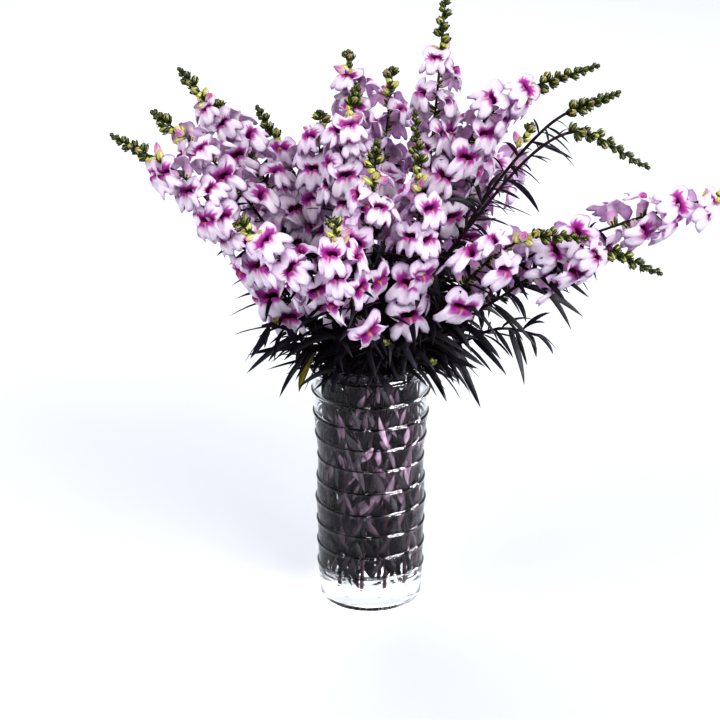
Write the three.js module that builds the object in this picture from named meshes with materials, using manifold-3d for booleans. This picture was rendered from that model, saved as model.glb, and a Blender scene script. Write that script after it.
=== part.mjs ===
// A glass vase of snapdragons, in millimetres, +Z up, with its origin at the centre of the vase's flat base.
// The bouquet's front looks along -Y. Twenty flowering stalks, two stalks still in bud and three leafy
// shoots stand in the vase. Each stalk is cut into its dark leafy stem, its pale flower head and its
// green bud tip, because those are the three colours that each hold together as one body.
import * as THREE from "three";
import { mergeVertices } from "three/addons/utils/BufferGeometryUtils.js";
import Module from "manifold-3d";

const wasm = await Module();
wasm.setup();

// ---------------------------------------------------------------- driving dimensions
const GAP = 0.35; // clearance between neighbouring nodes

const VASE = {
  height: 290,
  floor: 24, // thickness of the solid glass foot
  wall: 3.4,
  edge: 3, // rounding of the foot
  firstRing: 41,
  ringPitch: 26.3,
  rings: 10,
  ringStep: 1.7, // how far the glass steps in above each ring
  ringRise: 1.4, // height of that step
  sides: 24,
  // Outer radius at the rings' edges, as [height, radius].
  outline: [[0, 57], [41, 60.5], [93, 61], [116, 62.3], [172, 59.8], [219, 64.2], [251, 66], [278, 67.4], [290, 66.6]],
};

const WATER = { level: 222, radius: 48.9, holeSlack: 0.8, grooveSlack: 1.6 };

const STEM = { footZ: 24.6, neckZ: 270, radius: 2.3, headRadius: 1.7, tipRadius: 0.8, sides: 4, twistDeg: 12, run: 40 };
const RING = { wall: 48, inner: 27, core: 9 }; // how far from the vase's axis the stems stand

const BLOOM = { size: 1.06, topSize: 0.74, turnDeg: 137.5, pull: 0.5, riseDeg: 8, topRiseDeg: 38 };
const BUD = { length: 9, width: 6.4, topLength: 3.4, turnDeg: 137.5 };
const LEAF = { length: 66, width: 7.5, thick: 1.1, turnDeg: 137.5 };
const WALL_LEAF = { length: 52, width: 9, radius: 51.7, thick: 0.9, heights: [60, 140] };

const COLOUR = {
  glass: { color: 0xdfe8ea, roughness: 0.05, metalness: 0, transparent: true, opacity: 0.4 },
  water: { color: 0xc9d6da, roughness: 0.02, metalness: 0, transparent: true, opacity: 0.35 },
  leaf: { color: 0x2c1b2a, roughness: 0.55, metalness: 0 },
  petal: { color: 0xe6c9ea, roughness: 0.6, metalness: 0 },
  bud: { color: 0x7f9a3a, roughness: 0.6, metalness: 0 },
};

// ---------------------------------------------------------------- the stalks
// stand: ring of the vase and angle in degrees (0 is +X, 90 is the back). knots: the points that the stalk
// passes above the vase. tip and head: lengths of the bud tip and of the flower head. blooms, buds and
// leaves: how many of each. A stalk with ownTip false keeps its few top buds in its flower head.
const STALKS = [
  { id: "01", stand: ["wall", 205], knots: [[-115, -45, 405], [-190, -40, 500], [-270, -35, 550]], tip: 46, head: 250, blooms: 12, buds: 8, leaves: 3 },
  { id: "02", stand: ["wall", 168], knots: [[-100, 0, 415], [-165, -5, 510], [-230, 0, 565]], tip: 28, head: 195, blooms: 9, buds: 6, leaves: 4 },
  { id: "03", stand: ["inner", 125], knots: [[-75, 50, 400], [-140, 60, 510], [-205, 60, 595]], tip: 34, head: 205, blooms: 9, buds: 6, leaves: 3 },
  { id: "04", stand: ["wall", 118], knots: [[-45, 90, 380], [-90, 115, 470], [-125, 120, 535]], tip: 42, head: 130, blooms: 6, buds: 7, leaves: 4 },
  { id: "05", stand: ["wall", 238], knots: [[-55, -100, 405], [-90, -125, 445], [-135, -140, 490]], tip: 12, head: 150, blooms: 7, buds: 3, leaves: 3, ownTip: false },
  { id: "06", stand: ["inner", 75], knots: [[-15, 55, 415], [-15, 70, 525], [-25, 75, 610]], tip: 14, head: 205, blooms: 9, buds: 3, leaves: 3, ownTip: false },
  { id: "07", stand: ["core", 180], knots: [[-25, 0, 410], [-30, 5, 505], [-15, 10, 590]], tip: 26, head: 165, blooms: 8, buds: 6, leaves: 2, ownTip: false },
  { id: "08", stand: ["inner", 250], knots: [[-10, -85, 420], [0, -100, 495], [5, -105, 565]], tip: 32, head: 150, blooms: 7, buds: 6, leaves: 3 },
  { id: "09", stand: ["inner", 300], knots: [[35, -60, 380], [50, -75, 480], [45, -70, 585]], tip: 66, head: 165, blooms: 9, buds: 9, leaves: 3 },
  { id: "10", stand: ["inner", 42], knots: [[55, 60, 425], [70, 70, 550], [80, 70, 680]], tip: 60, head: 230, blooms: 10, buds: 8, leaves: 3 },
  { id: "11", stand: ["wall", 25], knots: [[85, 50, 465], [140, 50, 560], [240, 40, 605]], tip: 70, head: 190, blooms: 10, buds: 11, leaves: 4 },
  { id: "12", stand: ["inner", 5], knots: [[100, 20, 425], [185, 10, 545], [260, 5, 585]], tip: 62, head: 0, blooms: 0, buds: 12, leaves: 6 },
  { id: "13", stand: ["core", 0], knots: [[115, -10, 455], [205, -25, 550], [290, -30, 515]], tip: 96, head: 0, blooms: 0, buds: 13, leaves: 6 },
  { id: "14", stand: ["wall", 357], knots: [[115, -45, 390], [260, -70, 465], [385, -80, 505]], tip: 26, head: 245, blooms: 12, buds: 6, leaves: 4 },
  { id: "15", stand: ["wall", 300], knots: [[90, -85, 395], [155, -105, 460], [220, -115, 465]], tip: 58, head: 110, blooms: 6, buds: 9, leaves: 3 },
  { id: "16", stand: ["wall", 330], knots: [[145, -60, 385], [230, -85, 440], [300, -95, 420]], tip: 62, head: 90, blooms: 5, buds: 9, leaves: 5 },
  { id: "17", stand: ["inner", 170], knots: [[-40, 30, 400], [-55, 45, 475], [-55, 50, 550]], tip: 14, head: 165, blooms: 8, buds: 3, leaves: 3, ownTip: false },
  { id: "18", stand: ["wall", 270], knots: [[-20, -115, 390], [-30, -140, 450], [-40, -150, 495]], tip: 12, head: 130, blooms: 7, buds: 3, leaves: 3, ownTip: false },
  { id: "19", stand: ["wall", 49], knots: [[90, 60, 365], [110, 95, 440], [120, 115, 515]], tip: 14, head: 150, blooms: 7, buds: 3, leaves: 3, ownTip: false },
  { id: "20", stand: ["wall", 143], knots: [[-80, 90, 360], [-140, 160, 450], [-175, 195, 520]], tip: 14, head: 170, blooms: 7, buds: 3, leaves: 4, ownTip: false },
  { id: "21", stand: ["wall", 95], knots: [[0, 100, 370], [15, 160, 470], [25, 190, 560]], tip: 14, head: 190, blooms: 7, buds: 3, leaves: 4, ownTip: false },
  { id: "22", stand: ["wall", 72], knots: [[80, 110, 350], [140, 170, 430], [185, 205, 490]], tip: 14, head: 165, blooms: 6, buds: 3, leaves: 4, ownTip: false },
];

// Leafy shoots with no flowers, which fill the collar between the vase's mouth and the blooms.
const SHOOTS = [
  { id: "right", stand: ["inner", 335], knots: [[95, -20, 310], [140, -25, 330], [185, -35, 325]], leaves: 11 },
  { id: "back_right", stand: ["wall", 60.5], knots: [[80, 75, 315], [110, 100, 335], [140, 125, 340]], leaves: 9 },
  { id: "left", stand: ["inner", 210], knots: [[-65, -45, 315], [-90, -65, 345], [-115, -80, 355]], leaves: 10 },
];

// ---------------------------------------------------------------- small helpers
const Z = new THREE.Vector3(0, 0, 1);
const Y = new THREE.Vector3(0, 1, 0);
const rad = THREE.MathUtils.degToRad;
const vec = (x, y, z) => new THREE.Vector3(x, y, z);
const mix = THREE.MathUtils.lerp;
const polar = (radius, degrees, z) => vec(radius * Math.cos(rad(degrees)), radius * Math.sin(rad(degrees)), z);

/** A repeatable number from -1 to 1 for each whole number n. */
function jitter(n) {
  const s = Math.sin(n * 12.9898 + 4.1) * 43758.5453;
  return 2 * (s - Math.floor(s)) - 1;
}

/** Points on a level circle. */
function around(centre, radius, count) {
  return Array.from({ length: count }, (_, k) => centre.clone().add(polar(radius, (360 * k) / count, 0)));
}

/** The value at x of a table of [x, value] rows, straight between rows. */
function along(table, x) {
  const next = table.findIndex(([at]) => at >= x);
  if (next <= 0) return table.at(next)[1];
  const [x0, v0] = table[next - 1];
  const [x1, v1] = table[next];
  return mix(v0, v1, (x - x0) / (x1 - x0));
}

/** A manifold solid from points and triangles, turned face out if need be. */
function solidFrom(points, faces) {
  const vertProperties = new Float32Array(points.flatMap((p) => [p.x, p.y, p.z]));
  const make = (list) => new wasm.Manifold(new wasm.Mesh({ numProp: 3, vertProperties, triVerts: new Uint32Array(list.flat()) }));
  const made = make(faces);
  return made.volume() < 0 ? make(faces.map(([a, b, c]) => [a, c, b])) : made;
}

/** A manifold solid from a three.js geometry whose surface is closed. */
function solidOf(geometry) {
  geometry.deleteAttribute("normal");
  geometry.deleteAttribute("uv");
  const merged = mergeVertices(geometry, 1e-4);
  const at = merged.getAttribute("position");
  const points = Array.from({ length: at.count }, (_, i) => new THREE.Vector3().fromBufferAttribute(at, i));
  const faces = [];
  for (let i = 0; i < merged.index.count; i += 3) {
    const face = [0, 1, 2].map((k) => merged.index.getX(i + k));
    if (new Set(face).size === 3) faces.push(face);
  }
  return solidFrom(points, faces);
}

/** A closed skin over loops of points that follow one another; a loop of one point is a tip. */
function skin(loops) {
  const faces = [];
  const cap = (first, count) => {
    for (let k = 1; k < count - 1; k++) faces.push([first, first + k, first + k + 1]);
  };
  cap(0, loops[0].length);
  faces.forEach((f) => f.reverse());
  let first = 0;
  for (let n = 0; n + 1 < loops.length; n++) {
    const [a, b] = [loops[n].length, loops[n + 1].length];
    const second = first + a;
    let [i, j] = [0, 0];
    while ((a > 1 && i < a) || (b > 1 && j < b)) {
      const ahead = b === 1 || j >= b || (a > 1 && i < a && (i + 1) / a <= (j + 1) / b);
      if (ahead) {
        faces.push([first + i, first + ((i + 1) % a), second + (j % b)]);
        i++;
      } else {
        faces.push([first + (i % a), second + ((j + 1) % b), second + j]);
        j++;
      }
    }
    first = second;
  }
  cap(first, loops.at(-1).length);
  return solidFrom(loops.flat(), faces);
}

// ---------------------------------------------------------------- stalks as paths
/** The path of a stalk or shoot, from its cut foot in the vase to its tip: a smooth curve and its joints. */
function pathOf({ stand: [ring, angle], knots }) {
  const foot = polar(RING[ring], angle - STEM.twistDeg, STEM.footZ);
  const neck = polar(RING[ring], angle, STEM.neckZ);
  const curve = new THREE.CatmullRomCurve3([foot, neck, ...knots.map((k) => vec(...k))], false, "catmullrom", 0.5);
  const total = curve.getLength();
  const mouth = total * stepPastHeight(curve, VASE.height);
  const runs = Math.round((total - mouth) / STEM.run);
  const above = Array.from({ length: runs }, (_, k) => mix(mouth, total, (k + 1) / runs));
  const joints = [0, mouth, ...above].map((at) => ({ at, point: curve.getPointAt(at / total) }));
  return { curve, total, mouth, joints };
}

/** The share of a curve's length at which it first rises past a height. */
function stepPastHeight(curve, z) {
  const steps = 200;
  for (let i = 0; i <= steps; i++)
    if (curve.getPointAt(i / steps).z >= z) return i / steps;
  return 1;
}

/** The point, direction and two cross directions of a stem at a length in mm from its foot. */
function stationAt({ curve, total, joints }, length) {
  const at = THREE.MathUtils.clamp(length, 0, total);
  const next = Math.max(1, joints.findIndex((joint) => joint.at >= at - 1e-6));
  const [a, b] = [joints[next - 1], joints[next]];
  const point = a.point.clone().lerp(b.point, (at - a.at) / (b.at - a.at));
  const tangent = curve.getTangentAt(at / total);
  const back = Y.clone().addScaledVector(tangent, -Y.dot(tangent)).normalize();
  return { point, tangent, back, side: new THREE.Vector3().crossVectors(tangent, back) };
}

/** The direction at an angle round a station's stem. */
function radialAt({ back, side }, angle) {
  return back.clone().multiplyScalar(Math.cos(angle)).addScaledVector(side, Math.sin(angle));
}

/** A tapered round stem along a path, between two lengths, with a ring of points at each joint. */
function stemPiece(path, from, to, radiusFrom, radiusTo, sides = STEM.sides) {
  const between = path.joints.map((joint) => joint.at).filter((at) => at > from + 3 && at < to - 3);
  const loops = [from, ...between, to].map((at) => {
    const station = stationAt(path, at);
    const radius = mix(radiusFrom, radiusTo, (at - from) / (to - from));
    return Array.from({ length: sides }, (_, k) =>
      station.point.clone().addScaledVector(radialAt(station, (2 * Math.PI * k) / sides), radius),
    );
  });
  return skin(loops);
}

// ---------------------------------------------------------------- blooms, buds and leaves
// One snapdragon bloom in its own frame: X across, Y out of the stem, Z up. Each loop starts at the top.
const BLOOM_LOOPS = (() => {
  const mirrored = (top, half, bottom) => [...top, ...half, ...bottom, ...half.map(([x, y, z]) => [-x, y, z]).reverse()];
  const root = [[0, -0.4, 0]];
  const tube = [[0, 14, 7], [6.4, 14, 0], [0, 14, -6], [-6.4, 14, 0]];
  const lips = mirrored(
    [[0, 18, 15.5]], // notch of the upper lip
    [[7, 16.5, 20.5], [14.5, 18.5, 12.5], [9.5, 20.5, 1], [15, 21.5, -7.5], [6.5, 22.5, -20]],
    [],
  );
  const mouth = [[0, 21, 6], [4.8, 28, -3.5], [-4.8, 28, -3.5]]; // under the hood, and the palate's two swellings
  return [root, tube, lips, mouth];
})();

// A corolla that is still closed: a long egg on its stalk.
const CLOSED_LOOPS = [
  [[0, -0.4, 0]],
  [[0, 9, 4.6], [4.2, 9, 0], [0, 9, -4.6], [-4.2, 9, 0]],
  [[0, 17, 5], [4.6, 17, 0], [0, 17, -4.4], [-4.6, 17, 0]],
  [[0, 24, 1]],
];

/** Loops of plain numbers, scaled and set at a frame, as a solid. */
function placed(loops, frame, size) {
  return skin(loops.map((loop) => loop.map((p) => vec(...p).multiplyScalar(size).applyMatrix4(frame))));
}

/** The frame of a bloom or bud: Y out of the stem at an angle round it, Z towards the tip and the sky. */
function outwardFrame(station, angle, riseDeg) {
  const radial = radialAt(station, angle);
  const out = radial.multiplyScalar(Math.cos(rad(riseDeg))).addScaledVector(station.tangent, Math.sin(rad(riseDeg)));
  const up = station.tangent.clone().multiplyScalar(0.75).addScaledVector(Z, 0.25);
  up.addScaledVector(out, -up.dot(out)).normalize();
  return new THREE.Matrix4().makeBasis(new THREE.Vector3().crossVectors(out, up), out, up).setPosition(station.point);
}

/** An angle round the stem, drawn towards the side that faces out of the bouquet. */
function drawnAngle(station, angle) {
  const facing = vec(station.point.x, station.point.y - 60, 0);
  const outward = Math.atan2(facing.dot(station.side), facing.dot(station.back));
  return angle + BLOOM.pull * Math.sin(outward - angle);
}

/** One green bud: three sides, its root in the stem. */
function budSolid(station, angle, riseDeg, length, width) {
  const frame = outwardFrame(station, angle, riseDeg);
  const w = width / 2;
  const loops = [[[0, 0, 0]], [[0, 0.62, w], [w, 0.62, -w * 0.6], [-w, 0.62, -w * 0.6]], [[0, 1, 0]]];
  const sized = loops.map((loop) => loop.map(([x, y, z]) => [x, y * length, z]));
  return placed(sized, frame, 1);
}

/** A narrow arched leaf: flat above, keeled below, on a short stalk. */
function leafSolid(root, direction, length, width, droop) {
  const across = new THREE.Vector3().crossVectors(direction, Z).normalize();
  const stations = [[0, 0.16], [0.28, 0.8], [0.62, 0.78], [1, 0]];
  const pointAt = (s) => root.clone().addScaledVector(direction, s * length).addScaledVector(Z, -droop * length * s * s);
  const loops = stations.map(([s, share]) => {
    const middle = pointAt(s);
    if (share === 0) return [middle];
    const ahead = pointAt(s + 0.01).sub(middle).normalize();
    const normal = new THREE.Vector3().crossVectors(across, ahead);
    const half = (width * share) / 2;
    const fold = half * 0.3;
    return [
      middle.clone().addScaledVector(across, half).addScaledVector(normal, fold),
      middle.clone().addScaledVector(across, -half).addScaledVector(normal, fold),
      middle.clone().addScaledVector(normal, -LEAF.thick),
    ];
  });
  return skin(loops);
}

/** A leaf under water, which leaves its stem at a height and lies along the inside of the glass. */
function wallLeafSolid(station, leanDeg, length, width) {
  const startAngle = Math.atan2(station.point.y, station.point.x);
  const root = station.point;
  const stations = [[0, 0.3], [0.4, 1], [1, 0]];
  const loops = stations.map(([s, share]) => {
    const turn = (s * length * Math.sin(rad(leanDeg))) / WALL_LEAF.radius;
    const z = root.z + s * length * Math.cos(rad(leanDeg));
    const radius = s === 0 ? Math.hypot(root.x, root.y) : WALL_LEAF.radius;
    const spot = (a, r, h) => vec(r * Math.cos(a), r * Math.sin(a), h);
    const angle = startAngle + turn;
    if (share === 0) return [spot(angle, radius, z)];
    const half = (width * share) / 2;
    const sideways = (half * Math.cos(rad(leanDeg))) / radius;
    const upwards = half * Math.sin(rad(leanDeg));
    return [
      spot(angle + sideways, radius, z - upwards),
      spot(angle - sideways, radius, z + upwards),
      spot(angle, radius - WALL_LEAF.thick, z),
    ];
  });
  return skin(loops);
}

// ---------------------------------------------------------------- pieces kept clear of one another
const pieces = []; // every placed solid, with its node and its box

/** Whether a solid keeps its clearance from every placed piece of the other nodes. */
function isClear(node, solid, gap = GAP) {
  const { min, max } = solid.boundingBox();
  return pieces.every(
    (p) =>
      p.node === node ||
      [0, 1, 2].some((k) => p.box.min[k] > max[k] + gap || p.box.max[k] < min[k] - gap) ||
      p.solid.minGap(solid, gap * 2) >= gap,
  );
}

function keep(node, solid) {
  pieces.push({ node, solid, box: solid.boundingBox() });
}

/** Keeps the first of a piece's bends that is clear of its neighbours; a piece with none is left off. */
function keepClear(node, bends, make) {
  for (const bend of bends) {
    const solid = make(bend);
    if (isClear(node, solid)) {
      keep(node, solid);
      return true;
    }
  }
  return false;
}

// ---------------------------------------------------------------- vase and water
const ringHeights = Array.from({ length: VASE.rings }, (_, k) => VASE.firstRing + k * VASE.ringPitch);
const outerRadius = (z) => along(VASE.outline, z);
const innerRadius = (z) => outerRadius(z) - VASE.ringStep - VASE.wall;

function lathe(profile) {
  const points = profile.map(([r, z]) => new THREE.Vector2(r, z));
  return solidOf(new THREE.LatheGeometry(points, VASE.sides).rotateX(Math.PI / 2));
}

/** The vase: a stack of flared segments, each stepping in above its ring, with a thick foot. */
function vaseSolid() {
  const { height, floor, edge, ringStep, ringRise } = VASE;
  const outside = ringHeights.flatMap((z) => [[outerRadius(z), z], [outerRadius(z) - ringStep, z + ringRise]]);
  const inside = [height, 219, 172, 116, floor + 5].map((z) => [innerRadius(z), z]);
  return lathe([
    [0, 0],
    [outerRadius(0) - edge, 0],
    [outerRadius(0), edge],
    ...outside,
    [outerRadius(height) - 0.6, height - 1],
    ...inside,
    [innerRadius(floor) - 3.4, floor],
    [0, floor],
  ]);
}

/** The water: a round body with a hole or groove for each stem; the leaves along the glass lie outside it. */
function waterSolid(paths) {
  const { radius, level, holeSlack, grooveSlack } = WATER;
  const base = VASE.floor + GAP;
  const body = lathe([[0, base], [radius - 6, base], [radius, base + 8], [radius, level], [0, level]]);
  const holes = paths.map((path) => {
    const [foot, mouth] = path.joints.map((joint) => joint.point);
    const slack = Math.hypot(foot.x, foot.y) > radius - 5 ? grooveSlack : holeSlack;
    return skin([foot.clone().lerp(mouth, -0.035), mouth].map((centre) => around(centre, STEM.radius + slack, 5)));
  });
  return wasm.Manifold.difference([body, ...holes]);
}

// ---------------------------------------------------------------- the bouquet
const group = new THREE.Group();

function addMesh(name, solid, look) {
  const mesh = solid.getMesh();
  const geometry = new THREE.BufferGeometry()
    .setAttribute("position", new THREE.BufferAttribute(new Float32Array(mesh.vertProperties), 3))
    .setIndex(new THREE.BufferAttribute(new Uint32Array(mesh.triVerts), 1));
  geometry.computeVertexNormals();
  const made = new THREE.Mesh(geometry, new THREE.MeshStandardMaterial(look));
  made.name = name;
  group.add(made);
}

/** Where a stalk's stem, head and tip end, in mm along its path. */
function cutsOf({ tip, head, path }) {
  const headEnd = path.total - tip;
  return { headEnd, headStart: headEnd - head };
}

const BLOOM_BENDS = [1, 0.9, 0.78].flatMap((size) => [0, 9, -9, 18, -18, 28, -28, 40, -40].map((turn) => ({ size, turn })));
const BUD_BENDS = [0, 25, -25, 50];
const LEAF_BENDS = [1, 0.8, 0.6].flatMap((size) => [0, 22, -22, 44, -44, 66, -66].map((turn) => ({ size, turn })));
const WALL_BENDS = [1, 0.8].flatMap((size) => [0, 12, -12].map((lean) => ({ size, lean })));

/** The blooms of a flower head, spiralling up its own length of stem. */
function keepHead(node, stalk) {
  const { blooms, path, seed, ownTip } = stalk;
  const { headStart, headEnd } = cutsOf(stalk);
  for (let i = 0; i < blooms; i++) {
    const share = (i + 0.5) / blooms;
    const station = stationAt(path, mix(headStart, headEnd, share));
    const angle = drawnAngle(station, rad(BLOOM.turnDeg * i + 360 * jitter(seed)) + 0.2 * jitter(seed * 31 + i));
    const size = mix(BLOOM.size, BLOOM.topSize, share) * (1 + 0.06 * jitter(seed * 17 + i));
    const rise = mix(BLOOM.riseDeg, BLOOM.topRiseDeg, share * share);
    const loops = i === blooms - 1 ? CLOSED_LOOPS : BLOOM_LOOPS;
    keepClear(node, BLOOM_BENDS, (bend) =>
      placed(loops, outwardFrame(station, angle + rad(bend.turn), rise), size * bend.size),
    );
  }
  if (ownTip === false) keepBuds(node, stalk, headEnd);
}

/** The buds of a tip, smaller and closer towards its end, with one on the very end. */
function keepBuds(node, { buds, path, seed }, from) {
  for (let i = 0; i < buds; i++) {
    const share = i / Math.max(1, buds - 1);
    const station = stationAt(path, mix(from + 4, path.total - 1, 1 - (1 - share) ** 1.25));
    const length = mix(BUD.length, BUD.topLength, share) + 2;
    const width = mix(BUD.width, BUD.topLength * 0.7, share);
    const rise = i === buds - 1 ? 80 : mix(35, 60, share);
    keepClear(node, BUD_BENDS, (turn) => budSolid(station, rad(BUD.turnDeg * i + turn) + seed, rise, length, width));
  }
}

/** The leaves of a stem between two lengths, which arch out and hang a little. */
function keepLeaves(node, { leaves, path, seed }, from, to) {
  for (let i = 0; i < leaves; i++) {
    const station = stationAt(path, mix(from, to, (i + 0.5) / leaves));
    const angle = rad(LEAF.turnDeg * i) + seed;
    const length = LEAF.length * (1 + 0.25 * jitter(seed * 7 + i));
    const droop = 0.28 + 0.16 * jitter(seed * 13 + i);
    keepClear(node, LEAF_BENDS, ({ size, turn }) => {
      const out = radialAt(station, drawnAngle(station, angle + rad(turn)));
      const direction = out.multiplyScalar(0.86).addScaledVector(station.tangent, 0.5).normalize();
      return leafSolid(station.point, direction, length * size, LEAF.width * (0.8 + 0.2 * size), droop);
    });
  }
}

/** The leaves of a stem that stands by the glass, pressed flat along its inside. */
function keepWallLeaves(node, { path, seed }) {
  WALL_LEAF.heights.forEach((z, i) => {
    const height = z + 10 * jitter(seed * 5 + i);
    const station = stationAt(path, path.total * stepPastHeight(path.curve, height));
    const lean = ((i + seed) % 2 ? 1 : -1) * (22 + 10 * jitter(seed * 11 + i));
    keepClear(node, WALL_BENDS, (bend) =>
      wallLeafSolid(station, lean + bend.lean, WALL_LEAF.length * bend.size, WALL_LEAF.width),
    );
  });
}

const plants = [...STALKS, ...SHOOTS].map((plant, index) => ({ ...plant, path: pathOf(plant), seed: index + 1 }));
const stalks = plants.slice(0, STALKS.length);
const shoots = plants.slice(STALKS.length);
const nameOf = (stalk, part) => `snapdragon_${stalk.id}_${part}`;

const vase = vaseSolid();
const water = waterSolid(plants.map((plant) => plant.path));
keep("vase", vase);
keep("water", water);

for (const stalk of stalks) {
  const { headStart, headEnd } = cutsOf(stalk);
  const { path, head, ownTip } = stalk;
  const { radius, headRadius, tipRadius } = STEM;
  const pieceOf = (part, from, to, ...rest) => keep(nameOf(stalk, part), stemPiece(path, from, to, ...rest));
  pieceOf("leafy_stem", 0, head ? headStart : headEnd, radius, headRadius);
  if (ownTip === false) pieceOf("flower_head", headStart + GAP, path.total, headRadius, tipRadius, 3);
  else {
    if (head) pieceOf("flower_head", headStart + GAP, headEnd, headRadius, headRadius * 0.75, 3);
    pieceOf("bud_tip", headEnd + GAP, path.total, headRadius * (head ? 0.75 : 1), tipRadius, 3);
  }
}
for (const shoot of shoots)
  keep(`leafy_shoot_${shoot.id}`, stemPiece(shoot.path, 0, shoot.path.total, STEM.radius, STEM.headRadius));

for (const stalk of stalks) if (stalk.head) keepHead(nameOf(stalk, "flower_head"), stalk);
for (const stalk of stalks)
  if (stalk.ownTip !== false) keepBuds(nameOf(stalk, "bud_tip"), stalk, cutsOf(stalk).headEnd);
for (const stalk of stalks) {
  const { headStart, headEnd } = cutsOf(stalk);
  const mouth = stalk.path.mouth + 6;
  const end = stalk.head ? headStart : headEnd;
  keepLeaves(nameOf(stalk, "leafy_stem"), stalk, mouth, Math.max(end - 4, mouth + 30));
  if (stalk.stand[0] === "wall") keepWallLeaves(nameOf(stalk, "leafy_stem"), stalk);
}
for (const shoot of shoots) keepLeaves(`leafy_shoot_${shoot.id}`, shoot, shoot.path.mouth + 4, shoot.path.total - 2);

/** All the pieces of one node, fused; a scrap that a neighbour left loose is dropped. */
function fused(node) {
  const whole = wasm.Manifold.union(pieces.filter((p) => p.node === node).map((p) => p.solid));
  return whole.decompose().sort((a, b) => b.volume() - a.volume())[0];
}

addMesh("vase", vase, COLOUR.glass);
addMesh("water", water, COLOUR.water);
for (const node of new Set(pieces.map((p) => p.node))) {
  if (node === "vase" || node === "water") continue;
  const look = node.endsWith("flower_head") ? COLOUR.petal : node.endsWith("bud_tip") ? COLOUR.bud : COLOUR.leaf;
  addMesh(node, fused(node), look);
}

export default group;
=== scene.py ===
"""A glass vase of snapdragons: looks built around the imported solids, +Z up, front towards -Y.

Twenty flowering stalks, two stalks in bud and three leafy shoots stand in a ringed glass vase of
water. Lengths in the classes below are millimetres, and become metres when a mesh is made.
"""
from __future__ import annotations

import logging
import math
from dataclasses import dataclass, field
from enum import Enum
from typing import Any

import bpy
import numpy as np
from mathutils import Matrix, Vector

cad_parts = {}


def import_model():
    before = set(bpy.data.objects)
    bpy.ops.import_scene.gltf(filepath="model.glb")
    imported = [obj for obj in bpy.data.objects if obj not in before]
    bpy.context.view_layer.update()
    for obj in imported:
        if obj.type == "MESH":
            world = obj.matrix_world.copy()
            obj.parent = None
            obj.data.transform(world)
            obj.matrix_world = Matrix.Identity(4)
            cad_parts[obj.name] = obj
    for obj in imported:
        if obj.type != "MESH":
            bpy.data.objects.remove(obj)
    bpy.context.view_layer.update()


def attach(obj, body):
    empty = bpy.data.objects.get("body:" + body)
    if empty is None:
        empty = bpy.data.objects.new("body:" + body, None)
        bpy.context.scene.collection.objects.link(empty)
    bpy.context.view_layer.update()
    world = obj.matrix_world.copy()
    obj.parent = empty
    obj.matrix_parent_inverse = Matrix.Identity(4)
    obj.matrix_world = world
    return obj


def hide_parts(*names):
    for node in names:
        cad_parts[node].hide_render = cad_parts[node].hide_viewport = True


LOG = logging.getLogger("snapdragons")
MM = 0.001
GOLDEN_DEG = 137.5
RIM_Z = 290.0
X_AXIS, Y_AXIS, Z_AXIS = np.eye(3)

Point = tuple[float, float, float]
Tint = tuple[float, float, float]
Value = float | np.ndarray
Rows = list | np.ndarray


class Slot(Enum):
    """The record's material slots."""

    GLASS = "glass"
    WATER = "water"
    FOLIAGE = "foliage"
    PETAL = "petal"
    BUD = "bud"


class Look(Enum):
    """What a face is made of, with the name of its material."""

    GLASS = "clear_glass"
    WATER = "vase_water"
    PETAL = "snapdragon_petal"
    LEAF = "purple_leaf"
    WET_LEAF = "sunken_leaf"
    STEM = "purple_stem"
    BUD = "green_bud"


class Stand(Enum):
    """How far from the vase's axis a stem stands, in mm."""

    WALL = 48.0
    INNER = 27.0
    CORE = 9.0


class Trait(Enum):
    """What varies from one part of a stalk to the next, with the factor of its random draws.

    Two traits may share a factor, where their parts are numbered apart.
    """

    SMALL_LEAF = 3
    EXTRA_BLOOM = 3
    GLASS_LEAF_HEIGHT = 5
    LEAF_LENGTH = 7
    GLASS_LEAF_LEAN = 11
    DROOP = 13
    LEAF_WIDTH = 19
    UNDERSIDE = 23
    CURL = 29
    BLOOM_TURN = 31
    SWEEP = 37
    TUFT_LEAF = 37
    PETAL_TONE = 41
    LEAF_FACE = 43
    RIPENESS = 53
    BLUSH = 59
    WHIM = 61
    BUD_TONE = 67
    SWELLING = 91


def linear(red: int, green: int, blue: int) -> np.ndarray:
    """Turns a screen colour of 0 to 255 into the linear colour that shaders use."""
    shares = np.array([red, green, blue]) / 255
    return np.where(shares <= 0.04045, shares / 12.92, ((shares + 0.055) / 1.055) ** 2.4)


PETAL_WHITE = linear(251, 249, 252)
PETAL_LILAC = linear(186, 70, 198)
PETAL_MAGENTA = linear(176, 8, 156)
THROAT_DEEP = linear(146, 6, 124)
PALATE_GOLD = linear(246, 160, 10)
TUBE_MAUVE = linear(232, 194, 224)
TUBE_CREAM = linear(244, 236, 206)
CALYX_GREEN = linear(96, 112, 40)
CALYX_DARK = linear(20, 20, 12)
BUD_LIME = linear(216, 216, 118)
BUD_PINK = linear(196, 106, 150)
STEM_PURPLE = linear(44, 24, 34)
STEM_GREEN = linear(70, 70, 38)
LEAF_TOP = linear(22, 14, 24)
# A bluish painted sheen, blended into the dark leaves' upper skins.
LEAF_PAINTED_SHEEN = linear(46, 48, 66)
LEAF_GREY = linear(58, 60, 62)
LEAF_UNDER = linear(84, 40, 70)
LEAF_MAUVE = linear(106, 88, 103)
LEAF_OLIVE = linear(104, 98, 26)


def jitter(n: float) -> float:
    """A repeatable number from -1 to 1 for each number n."""
    s = math.sin(n * 12.9898 + 4.1) * 43758.5453
    return 2 * (s - math.floor(s)) - 1


def mix(a: Value, b: Value, share: Value) -> Value:
    """The value part of the way from a to b."""
    return a + (b - a) * share


def ease(low: float, high: float, x: Value) -> Value:
    """A smooth step from 0 at low to 1 at high."""
    t = np.clip((x - low) / (high - low), 0, 1)
    return t * t * (3 - 2 * t)


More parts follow.
